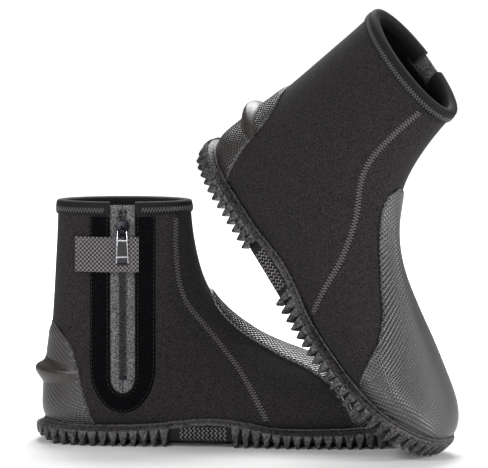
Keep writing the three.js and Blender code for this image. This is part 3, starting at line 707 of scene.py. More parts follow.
# %% [markdown]
# ## Rubber guards and strap ledge
# The toe and heel are faced with thin embossed rubber, whose edge is skived to a rounded lip. The heel carries a
# moulded ledge that stops a fin's strap from sliding down.

# %% Guards
guard_low, guard_high = 0.3, 1.9


def guard_height(rows, drops):
    """A guard's outer height: it thins at its side edges and over its first rows."""
    drops = np.maximum(drops, (1 - ease(rows, rows[0], rows[0] + 0.35))[:, None])
    return guard_high - (guard_high - guard_low) * drops


def make_toe_guard(side):
    first = toe_span[0]
    rows = np.concatenate([first + np.array([0.0, 0.03, 0.1]), np.linspace(first + 0.2, toe_span[1] - 0.02, 70)])
    rows, edge, fade = run_under(rows, toe_edge)
    count = len(rows)
    more = np.concatenate([np.linspace(rows[-1] + 0.1, 16.9, 40), np.linspace(17, 17.97, 14)])
    rows = np.concatenate([rows, more])
    edge = np.concatenate([edge, np.full(len(more), np.pi)])
    turns, drops = spread(rows, -edge, edge, 80)
    drops[:count] *= fade[:, None]
    drops[count:] = 0
    lip = 0.35 * np.interp(edge_marks, [0, 1, 2, 3], [0, 1, 0.4, 0])
    height = guard_height(rows, drops)
    height[:count, : len(lip)] += lip * fade[:, None]
    height[:count, -len(lip) :] += lip[::-1] * fade[:, None]
    obj = panel(f"{side}_toe_guard", side, rows, turns, height, guard_low, toe_rubber)
    return finish_piece(obj, side, ["toe_guard"])


def make_heel_guard(side):
    rows = np.linspace(heel_span[0] + 0.005, heel_span[1] - 0.02, 60)
    edge = edge_turns(rows, heel_edge)
    ok = ~np.isnan(edge)
    rows, edge = rows[ok], edge[ok]
    turns, drops = spread(rows, edge, 2 * np.pi - edge, 60)
    height = guard_height(rows, drops)
    obj = panel(f"{side}_heel_guard", side, rows, turns, height, guard_low, heel_rubber)
    return finish_piece(obj, side, ["heel_guard"])


def rows_at_height(turn, z):
    """The section whose point at that turn has height z."""
    turn, z = np.broadcast_arrays(np.asarray(turn, float), np.asarray(z, float))
    low, high = np.full(z.shape, -0.3), np.full(z.shape, 9.0)
    for _ in range(30):
        k = (low + high) / 2
        above = surface(k, turn)[..., 2] > z
        low, high = np.where(above, k, low), np.where(above, high, k)
    return (low + high) / 2


def loft(name, side, grid, material, uv=None, sharp=40):
    """A closed piece from rings of points: grid is ring by ring, each ring closed, with flat ends."""
    rings, around = grid.shape[:2]
    faces = grid_faces(rings, around, wrap=True)
    faces += [list(range(around)), list(range((rings - 1) * around, rings * around))[::-1]]
    obj = make(name, side, grid, faces, material, uv, sharp=sharp)
    face_out(obj.data)
    return obj


def make_strap_ledge(side):
    spans = np.linspace(-1, 1, 41)
    profile = np.array(
        [[64, 0], [60.5, 0.9], [58.3, 2.6], [56.8, 5.0], [55.2, 6.5]]
        + [[53.2, 6.9], [51, 6.2], [48.5, 4.3], [46, 1.8], [43.5, 0]]
    )
    rings = []
    for v in spans:
        fade = max(math.cos(v * math.pi / 2), 0.0) ** 0.9
        turn = np.pi + v * 0.98
        heights = 53.5 + (profile[:, 0] - 53.5) * (0.45 + 0.55 * fade) - 1.5 * abs(v)
        offs = guard_high - 0.1 + profile[:, 1] * fade
        outer = skin(rows_at_height(turn, heights), turn, offs)
        back = heights[::-1][1:-1:3]
        inner = skin(rows_at_height(turn, back), turn, np.full(len(back), guard_high - 0.4))
        rings.append(np.vstack([outer, inner]))
    obj = loft(f"{side}_strap_ledge", side, np.array(rings), ledge_rubber)
    return finish_piece(obj, side, ["strap_ledge"])


# %% [markdown]
# ## Collar binding
# A strip of nylon tape is folded over the raw edge of the collar. It stops at the zip opening on both sides.

# %% Binding
collar_z, section_gap = 179.0, 21
collar_front, collar_deep = 115.3, 98.9


def collar_turns(count):
    """Turns round the collar from the zip opening's front edge, by the toe side and the heel, to its rear edge."""
    ends = (zip_x + slot_half + 0.3, zip_x - slot_half - 0.3)
    front, rear = (turn_at(np.array(0.0), (collar_front - x) / collar_deep) for x in ends)
    return np.linspace(-float(front), 2 * np.pi - float(rear), count)


def make_binding(side):
    profile = np.array(
        [[0.25, 170.1], [0.8, 169.7], [1.25, 170.2], [1.45, 172.5], [1.5, 176], [1.35, 179], [0.6, 180.4], [-1, 180.9]]
        + [[-2.5, 181], [-4, 180.9], [-5.6, 180.4], [-6.35, 179], [-6.5, 176], [-6.45, 172.5], [-6.25, 170.2]]
        + [[-5.8, 169.7], [-5.25, 170.1], [-5.2, 179.15], [0.2, 179.15]]
    )
    turns = collar_turns(150)
    grid = []
    for turn in turns:
        k = np.maximum((collar_z - profile[:, 1]) / section_gap, 0)
        ring = skin(k, np.full(len(k), turn), profile[:, 0])
        ring[:, 2] += np.maximum(profile[:, 1] - collar_z, 0)
        grid.append(ring)
    grid = np.array(grid)
    around = lengths_along(profile) + np.zeros(grid.shape[:2])
    along = np.linspace(0, 250, len(turns))[:, None] + np.zeros(grid.shape[1])
    obj = loft(f"{side}_collar_binding", side, grid, binding_tape, np.stack([along, around], -1), sharp=60)
    return finish_piece(obj, side, ["collar_binding"])


# %% [markdown]
# ## Pieces laid on the zip side
# The plush strip, the gusset behind the zip and the closure tab all follow the inner side of the shaft, so each
# is drawn in the side view and laid on the form at its own height.

# %% Laying a side-view grid on the inner side
def lay(x, z, off):
    k, share = locate(x, z)
    return skin(k, 2 * np.pi - turn_at(k, np.clip(share, 0, 1)), off)


def side_sheet(name, side, x, z, outer, inner, material):
    top = lay(x, z, outer)
    obj = sheet(name, side, top, lay(x, z, inner), top, material)
    face_out(obj.data)
    return obj


def make_surround(side):
    inner_line = resample(u_outline(slot_half + 0.3, slot_foot - 0.3, slot_round, 169.7, 40), 150)
    outer_line = resample(u_outline(24.2, 24.6, 34.0, 169.7, 60), 150)
    across = np.array([0, 0.02, 0.06, 0.15, 0.35, 0.6, 0.8, 0.92, 0.97, 1.0])
    crown = np.array([0, 0.6, 0.9, 1, 1, 1, 1, 0.9, 0.6, 0])
    flat = inner_line[:, None] + (outer_line - inner_line)[:, None] * across[:, None]
    outer = 0.35 + 1.1 * crown + np.zeros(flat.shape[:2])
    obj = side_sheet(f"{side}_zip_surround", side, flat[..., 0], flat[..., 1], outer, 0.1, loop_pile)
    return finish_piece(obj, side, ["zip_surround"])


def make_gusset(side):
    x, z = np.meshgrid(np.linspace(49.4, 81.4, 16), np.linspace(168, 35, 50))
    obj = side_sheet(f"{side}_zip_gusset", side, x, z, -5.4 + 0 * x, -7.3, lining)
    return finish_piece(obj, side, ["zip_gusset"])


# %% [markdown]
# ## Repeats by Geometry Nodes
# Stitches, zip teeth, edge teeth, lugs and ribs are each one small shape repeated along a path. A tree takes loose
# points that carry an "out" and an "along" direction and a stretch, puts the shape on each and turns it to them.

# %% A tree that repeats a shape on points
repeat_tree = bpy.data.node_groups.new("repeat_on_points", "GeometryNodeTree")
for label, kind in (("Points", "Geometry"), ("Shape", "Object"), ("Size", "Float"), ("Finish", "Material")):
    repeat_tree.interface.new_socket(name=label, in_out="INPUT", socket_type="NodeSocket" + kind)
repeat_tree.interface.new_socket(name="Geometry", in_out="OUTPUT", socket_type="NodeSocketGeometry")
given = add(repeat_tree, "NodeGroupInput").outputs
shape = add(repeat_tree, "GeometryNodeObjectInfo", n0=given["Shape"]).outputs["Geometry"]
out_way, along_way, stretch = (
    add(repeat_tree, "GeometryNodeInputNamedAttribute", {"data_type": "FLOAT_VECTOR"}, Name=label).outputs[0]
    for label in ("out", "along", "stretch")
)
facing = add(repeat_tree, "FunctionNodeAlignRotationToVector", {"axis": "Y", "pivot_axis": "AUTO"}, Vector=out_way)
turned = add(
    repeat_tree,
    "FunctionNodeAlignRotationToVector",
    {"axis": "X", "pivot_axis": "Y"},
    Rotation=facing.outputs[0],
    Vector=along_way,
)
scaled = add(repeat_tree, "ShaderNodeVectorMath", {"operation": "SCALE"}, Vector=stretch, Scale=given["Size"])
placed = add(
    repeat_tree,
    "GeometryNodeInstanceOnPoints",
    Points=given["Points"],
    Instance=shape,
    Rotation=turned.outputs[0],
    Scale=scaled.outputs[0],
)
real = add(repeat_tree, "GeometryNodeRealizeInstances", Geometry=placed.outputs[0])
dressed = add(repeat_tree, "GeometryNodeSetMaterial", Geometry=real.outputs[0], Material=given["Finish"])
add(repeat_tree, "NodeGroupOutput", Geometry=dressed.outputs[0])


def apply_tree(obj, **values):
    """Runs the tree on an object with its inputs set, and leaves a plain mesh."""
    modifier = obj.modifiers.new(repeat_tree.name, "NODES")
    modifier.node_group = repeat_tree
    for item in repeat_tree.interface.items_tree:
        if item.in_out == "INPUT" and item.name in values:
            modifier[item.identifier] = values[item.name]
    obj.data.update_tag()
    bpy.context.view_layer.update()
    plain(obj)


def directions(side, vectors):
    turned_vectors = np.asarray(vectors, float) @ (boots[side][:3, :3].T * 1000)
    return turned_vectors / np.linalg.norm(turned_vectors, axis=-1, keepdims=True)


def repeat(name, side, points, out, along, shape_object, finish, size=1.0, stretch=1.0):
    """The shape at each point of a boot's frame; its y points out and its x along. Stretch scales its own z."""
    mesh = bpy.data.meshes.new(name)
    mesh.from_pydata(to_world(side, points).tolist(), [], [])
    turned_along = directions(side, along) * (1 if side == "left" else -1)
    scale = np.ones((len(turned_along), 3))
    scale[:, 2] = stretch
    for label, vectors in (("out", directions(side, out)), ("along", turned_along), ("stretch", scale)):
        layer = mesh.attributes.new(label, "FLOAT_VECTOR", "POINT")
        layer.data.foreach_set("vector", vectors.ravel())
    obj = new_object(name, mesh)
    apply_tree(obj, Shape=shape_object, Size=size, Finish=finish)
    smooth_faces(obj.data, 40)
    return obj


def shape_object(name, points, faces):
    """A small shape in metres that trees repeat; it isn't shown itself."""
    mesh = bpy.data.meshes.new(name)
    mesh.from_pydata((np.asarray(points, float) * 0.001).tolist(), [], faces)
    face_out(mesh)
    return bpy.data.objects.new(name, mesh)


def loft_shape(name, rings):
    rings = np.array(rings, float)
    count, around = rings.shape[:2]
    faces = grid_faces(count, around, wrap=True)
    faces += [list(range(around)), list(range((count - 1) * around, count * around))]
    return shape_object(name, rings.reshape(-1, 3), faces)


def grain_shape(name, length, width, height):
    """A long rounded grain, such as one stitch: six sided, lying along x."""
    rings = []
    for x, r in ((-0.5, 0.25), (-0.34, 0.85), (0, 1.0), (0.34, 0.85), (0.5, 0.25)):
        angles = np.linspace(0, 2 * np.pi, 7)[:-1]
        rings.append([[x * length, math.sin(a) * r * height / 2, math.cos(a) * r * width / 2] for a in angles])
    return loft_shape(name, rings)


# %% [markdown]
# ## Stitching
# The front seams and the collar are sewn with a close zigzag, and the plush strip and the tab with straight rows.
# A row is a line on the skin, resampled so that the stitches keep one pitch. The thread is half a millimetre thick.

# %% Stitches
stitch_shape = grain_shape("stitch", 2.3, 0.55, 0.5)
zigzag_pitch = 1.15


def row_of(line, normals, pitch):
    """Evenly spaced places along a line, with its normal and its direction at each."""
    length = lengths_along(line)
    marks = np.arange(pitch / 2, length[-1], pitch)
    ahead = at_marks(np.minimum(marks + 0.5, length[-1]), length, line)
    behind = at_marks(np.maximum(marks - 0.5, 0), length, line)
    return at_marks(marks, length, line), at_marks(marks, length, normals), ahead - behind


def row_on_side(line, off, pitch):
    """The row of a side-view line laid on the inner side."""
    k, share = locate(line[:, 0], line[:, 1])
    turn = 2 * np.pi - turn_at(k, share)
    return row_of(skin(k, turn, off), outward(k, turn), pitch)


def stitch_rows(name, side, rows, thread, size=1.0):
    at, normal, along = (np.concatenate(parts) for parts in zip(*rows))
    return repeat(name, side, at, normal, along, stitch_shape, thread, size)


def zigzag(name, side, lines, half_wide, thread):
    """A zigzag along lines on the skin, each a pair of points and normals: one long stitch for each leg."""
    middles, normals, legs = [], [], []
    for line_points, line_normals in lines:
        at, normal, along = row_of(line_points, line_normals, zigzag_pitch)
        across = np.cross(normal, along)
        across *= half_wide / np.linalg.norm(across, axis=-1, keepdims=True)
        corners = at + across * np.where(np.arange(len(at)) % 2, 1, -1)[:, None]
        middles.append((corners[1:] + corners[:-1]) / 2)
        legs.append(corners[1:] - corners[:-1])
        normals.append(normal[1:])
    middles, normals, legs = (np.concatenate(parts) for parts in (middles, normals, legs))
    leg = float(np.median(np.linalg.norm(legs, axis=-1)))
    shape = grain_shape(name + "_leg", leg * 1.02, 0.5, 0.5)
    return repeat(name, side, middles, normals, legs, shape, thread)


def make_seam_stitching(side):
    at = surface(seam_rows, seam_turns)
    use = (at[:, 2] < 169) & (at[:, 2] > rand_height(at[:, 0]) + 1)
    k = seam_rows[use]
    lines = [(skin(k, turn, 0.15), outward(k, turn)) for turn in (seam_turns[use], 2 * np.pi - seam_turns[use])]
    obj = zigzag(f"{side}_seam_stitching", side, lines, 2.3, grey_thread)
    return finish_piece(obj, side, [])


def make_surround_stitching(side):
    near = u_outline(slot_half + 1.9, slot_foot - 1.7, slot_round + 1, 169, 40)
    far = u_outline(22.8, 26.2, 33.0, 169, 60)
    rows = [row_on_side(resample(line, 120), 1.4, 3.3) for line in (near, far)]
    obj = stitch_rows(f"{side}_surround_stitching", side, rows, hidden_thread)
    return finish_piece(obj, side, [])


def make_binding_stitching(side):
    turns = collar_turns(160)[2:-2]
    k = np.full(len(turns), (collar_z - 173.2) / section_gap)
    lines = [(skin(k, turns, 1.55), outward(k, turns))]
    obj = zigzag(f"{side}_binding_stitching", side, lines, 1.9, black_thread)
    return finish_piece(obj, side, [])


# %% [markdown]
# ## Closure tab
# A strip of twill is sewn down beyond the front edge of the zip and folds back over it, held by a hook patch at
# its free end. Only the hook patch is hung on the tab's joint.

# %% Closure tab and hook patch
tab_front, tab_rear, tab_low, tab_high = 77.3, 32.4, 129.0, 155.0


def tab_height(x):
    """How far the tab's inner face stands off the form: down on its sewn end, up over the zip, and a curled tip."""
    curl = np.clip((tab_rear + 7 - x) / 7, 0, 1) ** 2
    return 1.6 + ease(tab_front - x, 0, 5) + 1.6 * curl


def make_tab(side):
    xs = tab_front - np.concatenate([[0, 0.3, 0.8], np.linspace(1.6, 43.4, 38), [44.2, 44.7, 44.9]])
    zs = np.concatenate([[0, 0.3, 0.8], np.linspace(1.6, 24.4, 12), [25.2, 25.7, 26]]) + tab_low
    x, z = np.meshgrid(xs, zs[::-1])
    edge = np.minimum(np.minimum(x - tab_rear, tab_front - x), np.minimum(z - tab_low, tab_high - z))
    crown = np.interp(edge, [0, 0.3, 0.8], [0.3, 0.8, 1.0])
    middle = tab_height(x) + 0.6
    tab = side_sheet(f"{side}_closure_tab", side, x, z, middle + 0.6 * crown, middle - 0.6 * crown, twill)
    front, rear, low, high = tab_front - 2.2, tab_rear + 2.2, tab_low + 2.2, tab_high - 2.2
    inner = tab_front - 5.0
    rows = []
    for line in (
        [(front, low), (front, high)],
        [(inner, high), (inner, low)],
        [(front, high), (rear, high)],
        [(rear, high), (rear, low)],
        [(rear, low), (front, low)],
    ):
        line = resample(np.array(line, float), 30)
        rows.append(row_on_side(line, tab_height(line[:, 0]) + 1.25, 2.9))
    thread = stitch_rows(f"{side}_tab_stitching", side, rows, grey_thread, 0.85)
    x, z = np.meshgrid(np.linspace(54.3, 39.3, 12), np.linspace(tab_high - 1.5, tab_low + 1.5, 12))
    patch = side_sheet(f"{side}_tab_hook_patch", side, x, z, 2.35 + 0 * x, 1.55, hook_tape)
    for obj, slot in ((tab, "webbing"), (thread, "webbing")):
        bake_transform(obj)
    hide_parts(f"{side}_closure_tab")
    return tab, finish_piece(patch, side, ["tab_hook_patch"], "tab")


# %% [markdown]
# ## The zip
# The zip is straight, so it has its own frame on the inner side: x across it, z up along it and -y out of the
# boot. Flat metal and tape pieces are outlines given a thickness, with their edges eased.

# %% Zip frame and plates
zip_top, zip_inset = 179.0, 0.8


def inner_face(z):
    k, share = locate(np.array([zip_x]), np.array([float(z)]))
    return float(surface(k, 2 * np.pi - turn_at(k, share))[0, 1])


zip_origin = np.array([zip_x, inner_face(178) + zip_inset, zip_top])
zip_tilt = math.atan2(zip_origin[1] - inner_face(43) - zip_inset, 178 - 43)
zip_turn = np.array(
    [[1, 0, 0], [0, math.cos(zip_tilt), math.sin(zip_tilt)], [0, -math.sin(zip_tilt), math.cos(zip_tilt)]]
)
zip_foot = (slot_foot - zip_top) / math.cos(zip_tilt)
print("zip leans", round(math.degrees(zip_tilt), 2), "degrees and ends", round(zip_foot, 1), "down")


def on_zip(points):
    return zip_origin + np.asarray(points, float).reshape(-1, 3) @ zip_turn.T


def plate(name, side, outline, outer, inner, material, rounding=0.0):
    """An outline across and along the zip, between two heights out of the tape."""
    bm = bmesh.new()

    def ring(points, y):
        return [bm.verts.new((x, y, z)) for x, z in points]

    near, deep = ring(outline, -outer), ring(outline, -inner)
    n = len(outline)
    for i in range(n):
        j = (i + 1) % n
        bm.faces.new((near[i], near[j], deep[j], deep[i]))
    bm.faces.new(near[::-1])
    bm.faces.new(deep)
    bmesh.ops.recalc_face_normals(bm, faces=bm.faces)
    if rounding:
        edges = [e for e in bm.edges if len(e.link_faces) == 2 and e.calc_face_angle(0) > 0.5]
        bmesh.ops.bevel(bm, geom=edges, offset=rounding, segments=2, profile=0.7, affect="EDGES", clamp_overlap=True)
    bm.verts.ensure_lookup_table()
    for v, p in zip(bm.verts, to_world(side, on_zip([v.co for v in bm.verts]))):
        v.co = p
    if side == "right":
        bmesh.ops.reverse_faces(bm, faces=bm.faces)
    mesh = bpy.data.meshes.new(name)
    bm.to_mesh(mesh)
    bm.free()
    mesh.materials.append(material)
    smooth_faces(mesh, 35)
    return new_object(name, mesh)


def rounded(half_wide, low, high, radius, count=5):
    """A rounded rectangle across and along the zip."""
    corners = ((half_wide - radius, low + radius, -90), (half_wide - radius, high - radius, 0))
    corners += ((-half_wide + radius, high - radius, 90), (-half_wide + radius, low + radius, 180))
    return [
        (x + radius * math.cos(math.radians(a + d)), z + radius * math.sin(math.radians(a + d)))
        for x, z, a in corners
        for d in np.linspace(0, 90, count)
    ]


# %% [markdown]
# The tape halves are flat strips with a rounded foot, a hair apart. Their moulded teeth stand on both edges and
# mesh: each is one small block, and the two rows are half a pitch apart.

# %% Tape, teeth and stops
tape_half, groove_half = 9.0, 0.8
coil_foot = zip_foot + 14
slider_top, slider_length = -12.0, 12.0
slider_foot = slider_top - slider_length
tooth_pitch = 2.1


def make_tape(side, sign):
    arc = [(tape_half * math.cos(a), zip_foot + 12.3 + 12 * math.sin(a)) for a in np.linspace(-1.5, 0, 10)]
    outline = [(groove_half * 0.25, zip_foot + 0.35)] + arc + [(tape_half, -0.5), (groove_half * 0.25, -0.5)]
    outline = [(sign * x, z) for x, z in outline][::sign]
    word = "front" if sign > 0 else "rear"
    obj = plate(f"{side}_zip_tape_{word}", side, outline, 0, -1.2, zip_weave, 0.12)
    return finish_piece(obj, side, [f"zip_tape_{word}"])


def block_shape(name, wide, high, out, rounding=0.25):
    """A small block with eased edges: x wide, z high, and y from 0 out."""
    bm = bmesh.new()
    bmesh.ops.create_cube(bm, size=1)
    for v in bm.verts:
        v.co = (v.co.x * wide, (v.co.y + 0.5) * out, v.co.z * high)
    bmesh.ops.bevel(bm, geom=list(bm.edges), offset=rounding, segments=1, affect="EDGES")
    points, faces = [tuple(v.co) for v in bm.verts], [[v.index for v in f.verts] for f in bm.faces]
    bm.free()
    return shape_object(name, points, faces)


tooth_shape = block_shape("zip_tooth", 3.1, 1.35, 1.75)


def make_teeth(side, sign):
    heights = np.arange(coil_foot + 0.8, -7.5, tooth_pitch) + (tooth_pitch / 2 if sign > 0 else 0)
    heights = heights[heights < -7.6]
    points = on_zip([(sign * 1.15, -0.25, z) for z in heights])
    out = np.tile(zip_turn @ np.array([0, -1.0, 0]), (len(points), 1))
    along = np.tile([1.0, 0, 0], (len(points), 1))
    word = "front" if sign > 0 else "rear"
    obj = repeat(f"{side}_zip_teeth_{word}", side, points, out, along, tooth_shape, zip_teeth)
    return finish_piece(obj, side, [f"zip_coil_{word}"])


def make_stops(side):
    made = []
    for sign, word in ((1, "front"), (-1, "rear")):
        low, high = -6.7, -4.1
        outline = [(sign * x, z) for x, z in ((0.8, low), (3.0, low), (3.0, high), (0.8, high))][::sign]
        obj = plate(f"{side}_zip_top_stop_{word}", side, outline, 2.0, 0.3, dark_zinc, 0.3)
        made.append(finish_piece(obj, side, [f"zip_top_stop_{word}"]))
    outline = rounded(3, coil_foot - 3.7, coil_foot - 0.3, 0.8)
    foot = plate(f"{side}_zip_bottom_stop", side, outline, 2.0, 0.3, dark_zinc, 0.3)
    made.append(finish_piece(foot, side, ["zip_bottom_stop"]))
    return made


# %% [markdown]
# The slider is two cast plates joined by a neck, with a bridge on top that the puller hangs from. The puller is a
# cast frame round a moulded insert, with its rim worn bright.

# %% Slider and puller
plate_low, plate_high = 2.3, 3.6
bar_out, bar_z = 6.2, slider_top - slider_length / 2 - 1.5


def make_slider(side):
    half = 5.25
    right = [(0.62, slider_foot), (0.74, slider_foot + 4), (1, slider_top - 4), (0.86, slider_top - 0.8)]
    right = [(half * x, z) for x, z in right + [(0.6, slider_top)]]
    outline = right + [(-x, z) for x, z in right[::-1]]
    neck = rounded(0.5, slider_top - 4, slider_top - 0.5, 0.2)
    parts = [
        plate("slider_front", side, outline, plate_high, plate_low, dark_zinc, 0.4),
        plate("slider_back", side, outline, -1.5, -2.8, dark_zinc, 0.3),
        plate("slider_neck", side, neck, plate_low + 0.2, -1.7, dark_zinc),
    ]
    bridge = []
    for a in np.linspace(0, math.pi, 13):
        (out, z), (oi, zi) = (
            (plate_high - 0.2 + (bar_out + rise - plate_high) * math.sin(a) ** 0.55, bar_z + r * math.cos(a))
            for rise, r in ((2.4, 3.4), (1.1, 2.0))
        )
        bridge.append([(-1.5, -out, z), (1.5, -out, z), (1.5, -oi, zi), (-1.5, -oi, zi)])
    arch = loft("slider_bridge", side, on_zip(np.array(bridge)).reshape(len(bridge), 4, 3), dark_zinc, sharp=35)
    obj = join(f"{side}_zip_slider", parts + [arch])
    return finish_piece(obj, side, ["zip_slider"], "slider")


def puller_side(x_top, x_foot, z):
    """How far a line down one side of the puller has spread at z."""
    return np.interp(z, [bar_z - 25, bar_z + 0.7], [x_foot, x_top])


def band_across(low, high, top, foot):
    """A four-cornered outline across the puller between two heights, as wide as its sides there."""
    a, b = puller_side(top, foot, high), puller_side(top, foot, low)
    return [(b, low), (a, high), (-a, high), (-b, low)]


def make_puller(side):
    outer, inner = bar_out + 0.7, bar_out - 0.7
    foot, neck = bar_z - 25, bar_z - 5.4
    body_line = [(3.6, foot), (4.35, foot + 0.7), (4.5, foot + 1.8), (3.7, neck), (-3.7, neck), (-4.5, foot + 1.8)]
    body_line += [(-4.35, foot + 0.7), (-3.6, foot)]
    parts = [plate("puller_frame", side, body_line, outer - 0.15, inner, dark_zinc, 0.3)]
    for s in (1, -1):
        rail = [(s * puller_side(2.9, 4.0, foot + 1), foot + 1), (s * puller_side(3.6, 4.75, foot + 1), foot + 1)]
        rail += [(s * 3.7, bar_z + 0.4), (s * 2.9, bar_z + 0.4)]
        parts.append(plate("puller_rail", side, rail[::s], outer, inner + 0.1, bright_zinc, 0.25))
    for low, high, material in (
        (foot + 1.6, foot + 5.2, puller_insert),
        (foot + 5.2, foot + 6.2, bright_zinc),
        (foot + 6.2, neck - 2.2, puller_insert),
        (neck - 2.2, neck - 1.2, bright_zinc),
    ):
        prouder = 0.05 if material is bright_zinc else 0.0
        band = band_across(low, high, 2.75, 3.7)
        parts.append(plate("puller_inlay", side, band, outer - 0.1 + prouder, inner + 0.3, material))
    angles = np.linspace(0, 2 * np.pi, 13)[:-1]
    bar = [
        [(x, -bar_out + 0.75 * math.cos(a), bar_z + 0.75 * math.sin(a)) for a in angles] for x in (-3.5, 0, 3.5)
    ]
    parts.append(loft("puller_bar", side, on_zip(np.array(bar)).reshape(3, 12, 3), dark_zinc))
    return finish_piece(join(f"{side}_zip_puller", parts), side, ["zip_puller"], "puller")


# %% [markdown]
# ## Outsole
# The sole is one rubber moulding: a plate under the foot, a rand that climbs the upper with a grooved lip, edge
# teeth, tread lugs and a ribbed arch panel. The rand follows the widest outline of the form in plan, so that
# outline is measured first.

# %% Plan outline of the form
def reach(x, z):
    """The form's inner and outer side at x and z, nan outside it."""
    x, z = np.broadcast_arrays(np.asarray(x, float), np.asarray(z, float))
    k, share = locate(x, z)
    _, _, _, _, width, centre, widest, front, back = np.moveaxis(section_at(k), -1, 0)
    ahead = share < widest
    u = np.abs(share - widest) / np.where(ahead, widest, 1 - widest)
    power = np.where(ahead, front, back)
    inside = (u < 1) & (k < last - 0.01)
    half = width * (1 - np.clip(u, 0, 1) ** power) ** (1 / power)
    return np.where(inside, centre - half, np.nan), np.where(inside, centre + half, np.nan)


sole_heights = np.linspace(11.2, 25, 7)


def plan_reach(x):
    inner, outer = reach(np.asarray(x)[:, None], sole_heights)
    with np.errstate(all="ignore"):
        return np.nanmin(inner, axis=1), np.nanmax(outer, axis=1)


scan = np.arange(-10, 300, 0.05)
hit = scan[~np.isnan(reach(scan[:, None], sole_heights)[0]).all(axis=1)]
heel_end, toe_end = hit[0], hit[-1]
stations = (heel_end + toe_end) / 2 - (toe_end - heel_end) / 2 * np.cos(np.linspace(0, np.pi, 161))
stations[0], stations[-1] = heel_end, toe_end
inner_side, outer_side = plan_reach(stations)
plan_loop = np.vstack(
    [np.stack([stations, inner_side], -1)[:1] * [1, 0] + [0, (inner_side[0] + outer_side[0]) / 2]]
    + [np.stack([stations, inner_side], -1)[1:-1]]
    + [[[toe_end, (inner_side[-1] + outer_side[-1]) / 2]]]
    + [np.stack([stations, outer_side], -1)[1:-1][::-1]]
)
ahead_point, behind_point = np.roll(plan_loop, -1, axis=0), np.roll(plan_loop, 1, axis=0)
tangent = ahead_point - behind_point
tangent /= np.linalg.norm(tangent, axis=1, keepdims=True)
plan_out = np.stack([tangent[:, 1], -tangent[:, 0]], -1)
for _ in range(3):
    plan_out = plan_out + np.roll(plan_out, 1, axis=0) + np.roll(plan_out, -1, axis=0)
    plan_out /= np.linalg.norm(plan_out, axis=1, keepdims=True)
print("sole outline", heel_end.round(1), "to", toe_end.round(1), "width", np.ptp(plan_loop[:, 1]).round(1))


def lean_in(z):
    """How far inside the plan outline the form's wall is at height z, for each place of the outline."""
    low, high = np.zeros(len(plan_loop)), np.full(len(plan_loop), 60.0)
    for _ in range(22):
        mid = (low + high) / 2
        p = plan_loop - plan_out * mid[:, None]
        a, b = reach(p[:, 0], z)
        inside = (p[:, 1] > a) & (p[:, 1] < b)
        low, high = np.where(inside, low, mid), np.where(inside, mid, high)
    return high


# %% [markdown]
# ### Plate and rand
# Rings of points run round the outline: up the outside of the rand, over its lip, down its inner face against the
# upper, and across the plate. The ground line rises in a bevel at the heel and a spring under the toe.

# %% Rand and plate
wall_mm, band_mm, band_high = 3.5, 6.0, 5.2
arch_from, arch_to = 100.0, 149.0


def ground_rise(x):
    return 7 * ease(-x, -16, 3) + 8 * ease(x, 248, 300)


def in_arch(x):
    return ease(x, arch_from - 1.5, arch_from + 1.5) * (1 - ease(x, arch_to - 1.5, arch_to + 1.5))


loop_x = plan_loop[:, 0]
rand_top_z = rand_height(loop_x)
band_z = rand_top_z - band_high
wall_heights = np.linspace(12, 30, 10)
wall_lean = np.array([lean_in(z) for z in wall_heights])
print("wall leans in", wall_lean.max(axis=1).round(1))


def rand_ring(z, off, follow=1.0):
    """A ring at heights z, off millimetres from the plan outline, or from the form itself as follow nears 1."""
    lean = np.array([np.interp(v, wall_heights, wall_lean[:, i]) for i, v in enumerate(z)])
    p = plan_loop + plan_out * (off - follow * lean)[:, None]
    return np.column_stack([p, z])


def make_outsole(side):
    base = ground_rise(loop_x) + 4.5
    arch = in_arch(loop_x)
    recess, face = 2.0 + 1.6 * arch, band_mm - 1.0 * arch
    level = 0 * base
    rings = [
        rand_ring(z + level, off + level, follow)
        for z, off, follow in (
            (base, recess - 1.2, 0),
            (base + 0.5, recess - 0.3, 0),
            (base + 1.2, recess, 0),
            (band_z + 0.5, recess, 0),
            (band_z, face - 0.7, 0.1),
            (band_z + 0.1, face - 0.15, 0.1),
            (band_z + 0.7, face, 0.15),
            (rand_top_z - 2.4, face - 1.6, 0.6),
            (rand_top_z - 2.1, face - 2.3, 0.65),
            (rand_top_z - 1.5, face - 2.4, 0.7),
            (rand_top_z - 1.2, face - 2.2, 0.75),
            (rand_top_z - 0.5, face - 2.6, 0.9),
            (rand_top_z - 0.1, face - 3.0, 1),
            (rand_top_z, face - 3.6, 1),
            (rand_top_z - 0.1, 0.9, 1),
            (rand_top_z - 0.8, 0.2, 1),
            (rand_top_z - 4, -0.4, 1),
            (9.0, -9.0, 0),
        )
    ]
    around = len(plan_loop)
    points = np.concatenate(rings)
    faces = grid_faces(len(rings), around, wrap=True, flip=True)
    half = around // 2
    top = (len(rings) - 1) * around
    for start, flip in ((0, False), (top, True)):
        for j in range(half):
            a, b, c, d = j, j + 1, around - j - 1, (around - j) % around
            face_points = [start + i for i in dict.fromkeys((a, b, c, d) if j + 1 < half else (a, b, d))]
            faces.append(face_points if flip else face_points[::-1])
    body = make(f"{side}_outsole", side, points, faces, sole_rubber, sharp=50)
    # Painted shade: the first rings, the wall behind the teeth, take the near-black rubber.
    second_material(body.data, shade_wall_rubber, 0, 4 * around)
    obj = join(f"{side}_outsole", [body, make_edge_teeth(side), make_lugs(side), make_arch_ribs(side)])
    return finish_piece(obj, side, ["outsole"])


# %% [markdown]
# ### Edge teeth, lugs and ribs
# Teeth stand round the edge at one pitch. Each is as wide as the pitch where it joins the band and narrow at the
# ground, which leaves pointed notches between them, dark with shade that is partly painted on the wall behind. The
# arch has shallow wavy ribs instead. Square lugs stand on their corners under the plate.

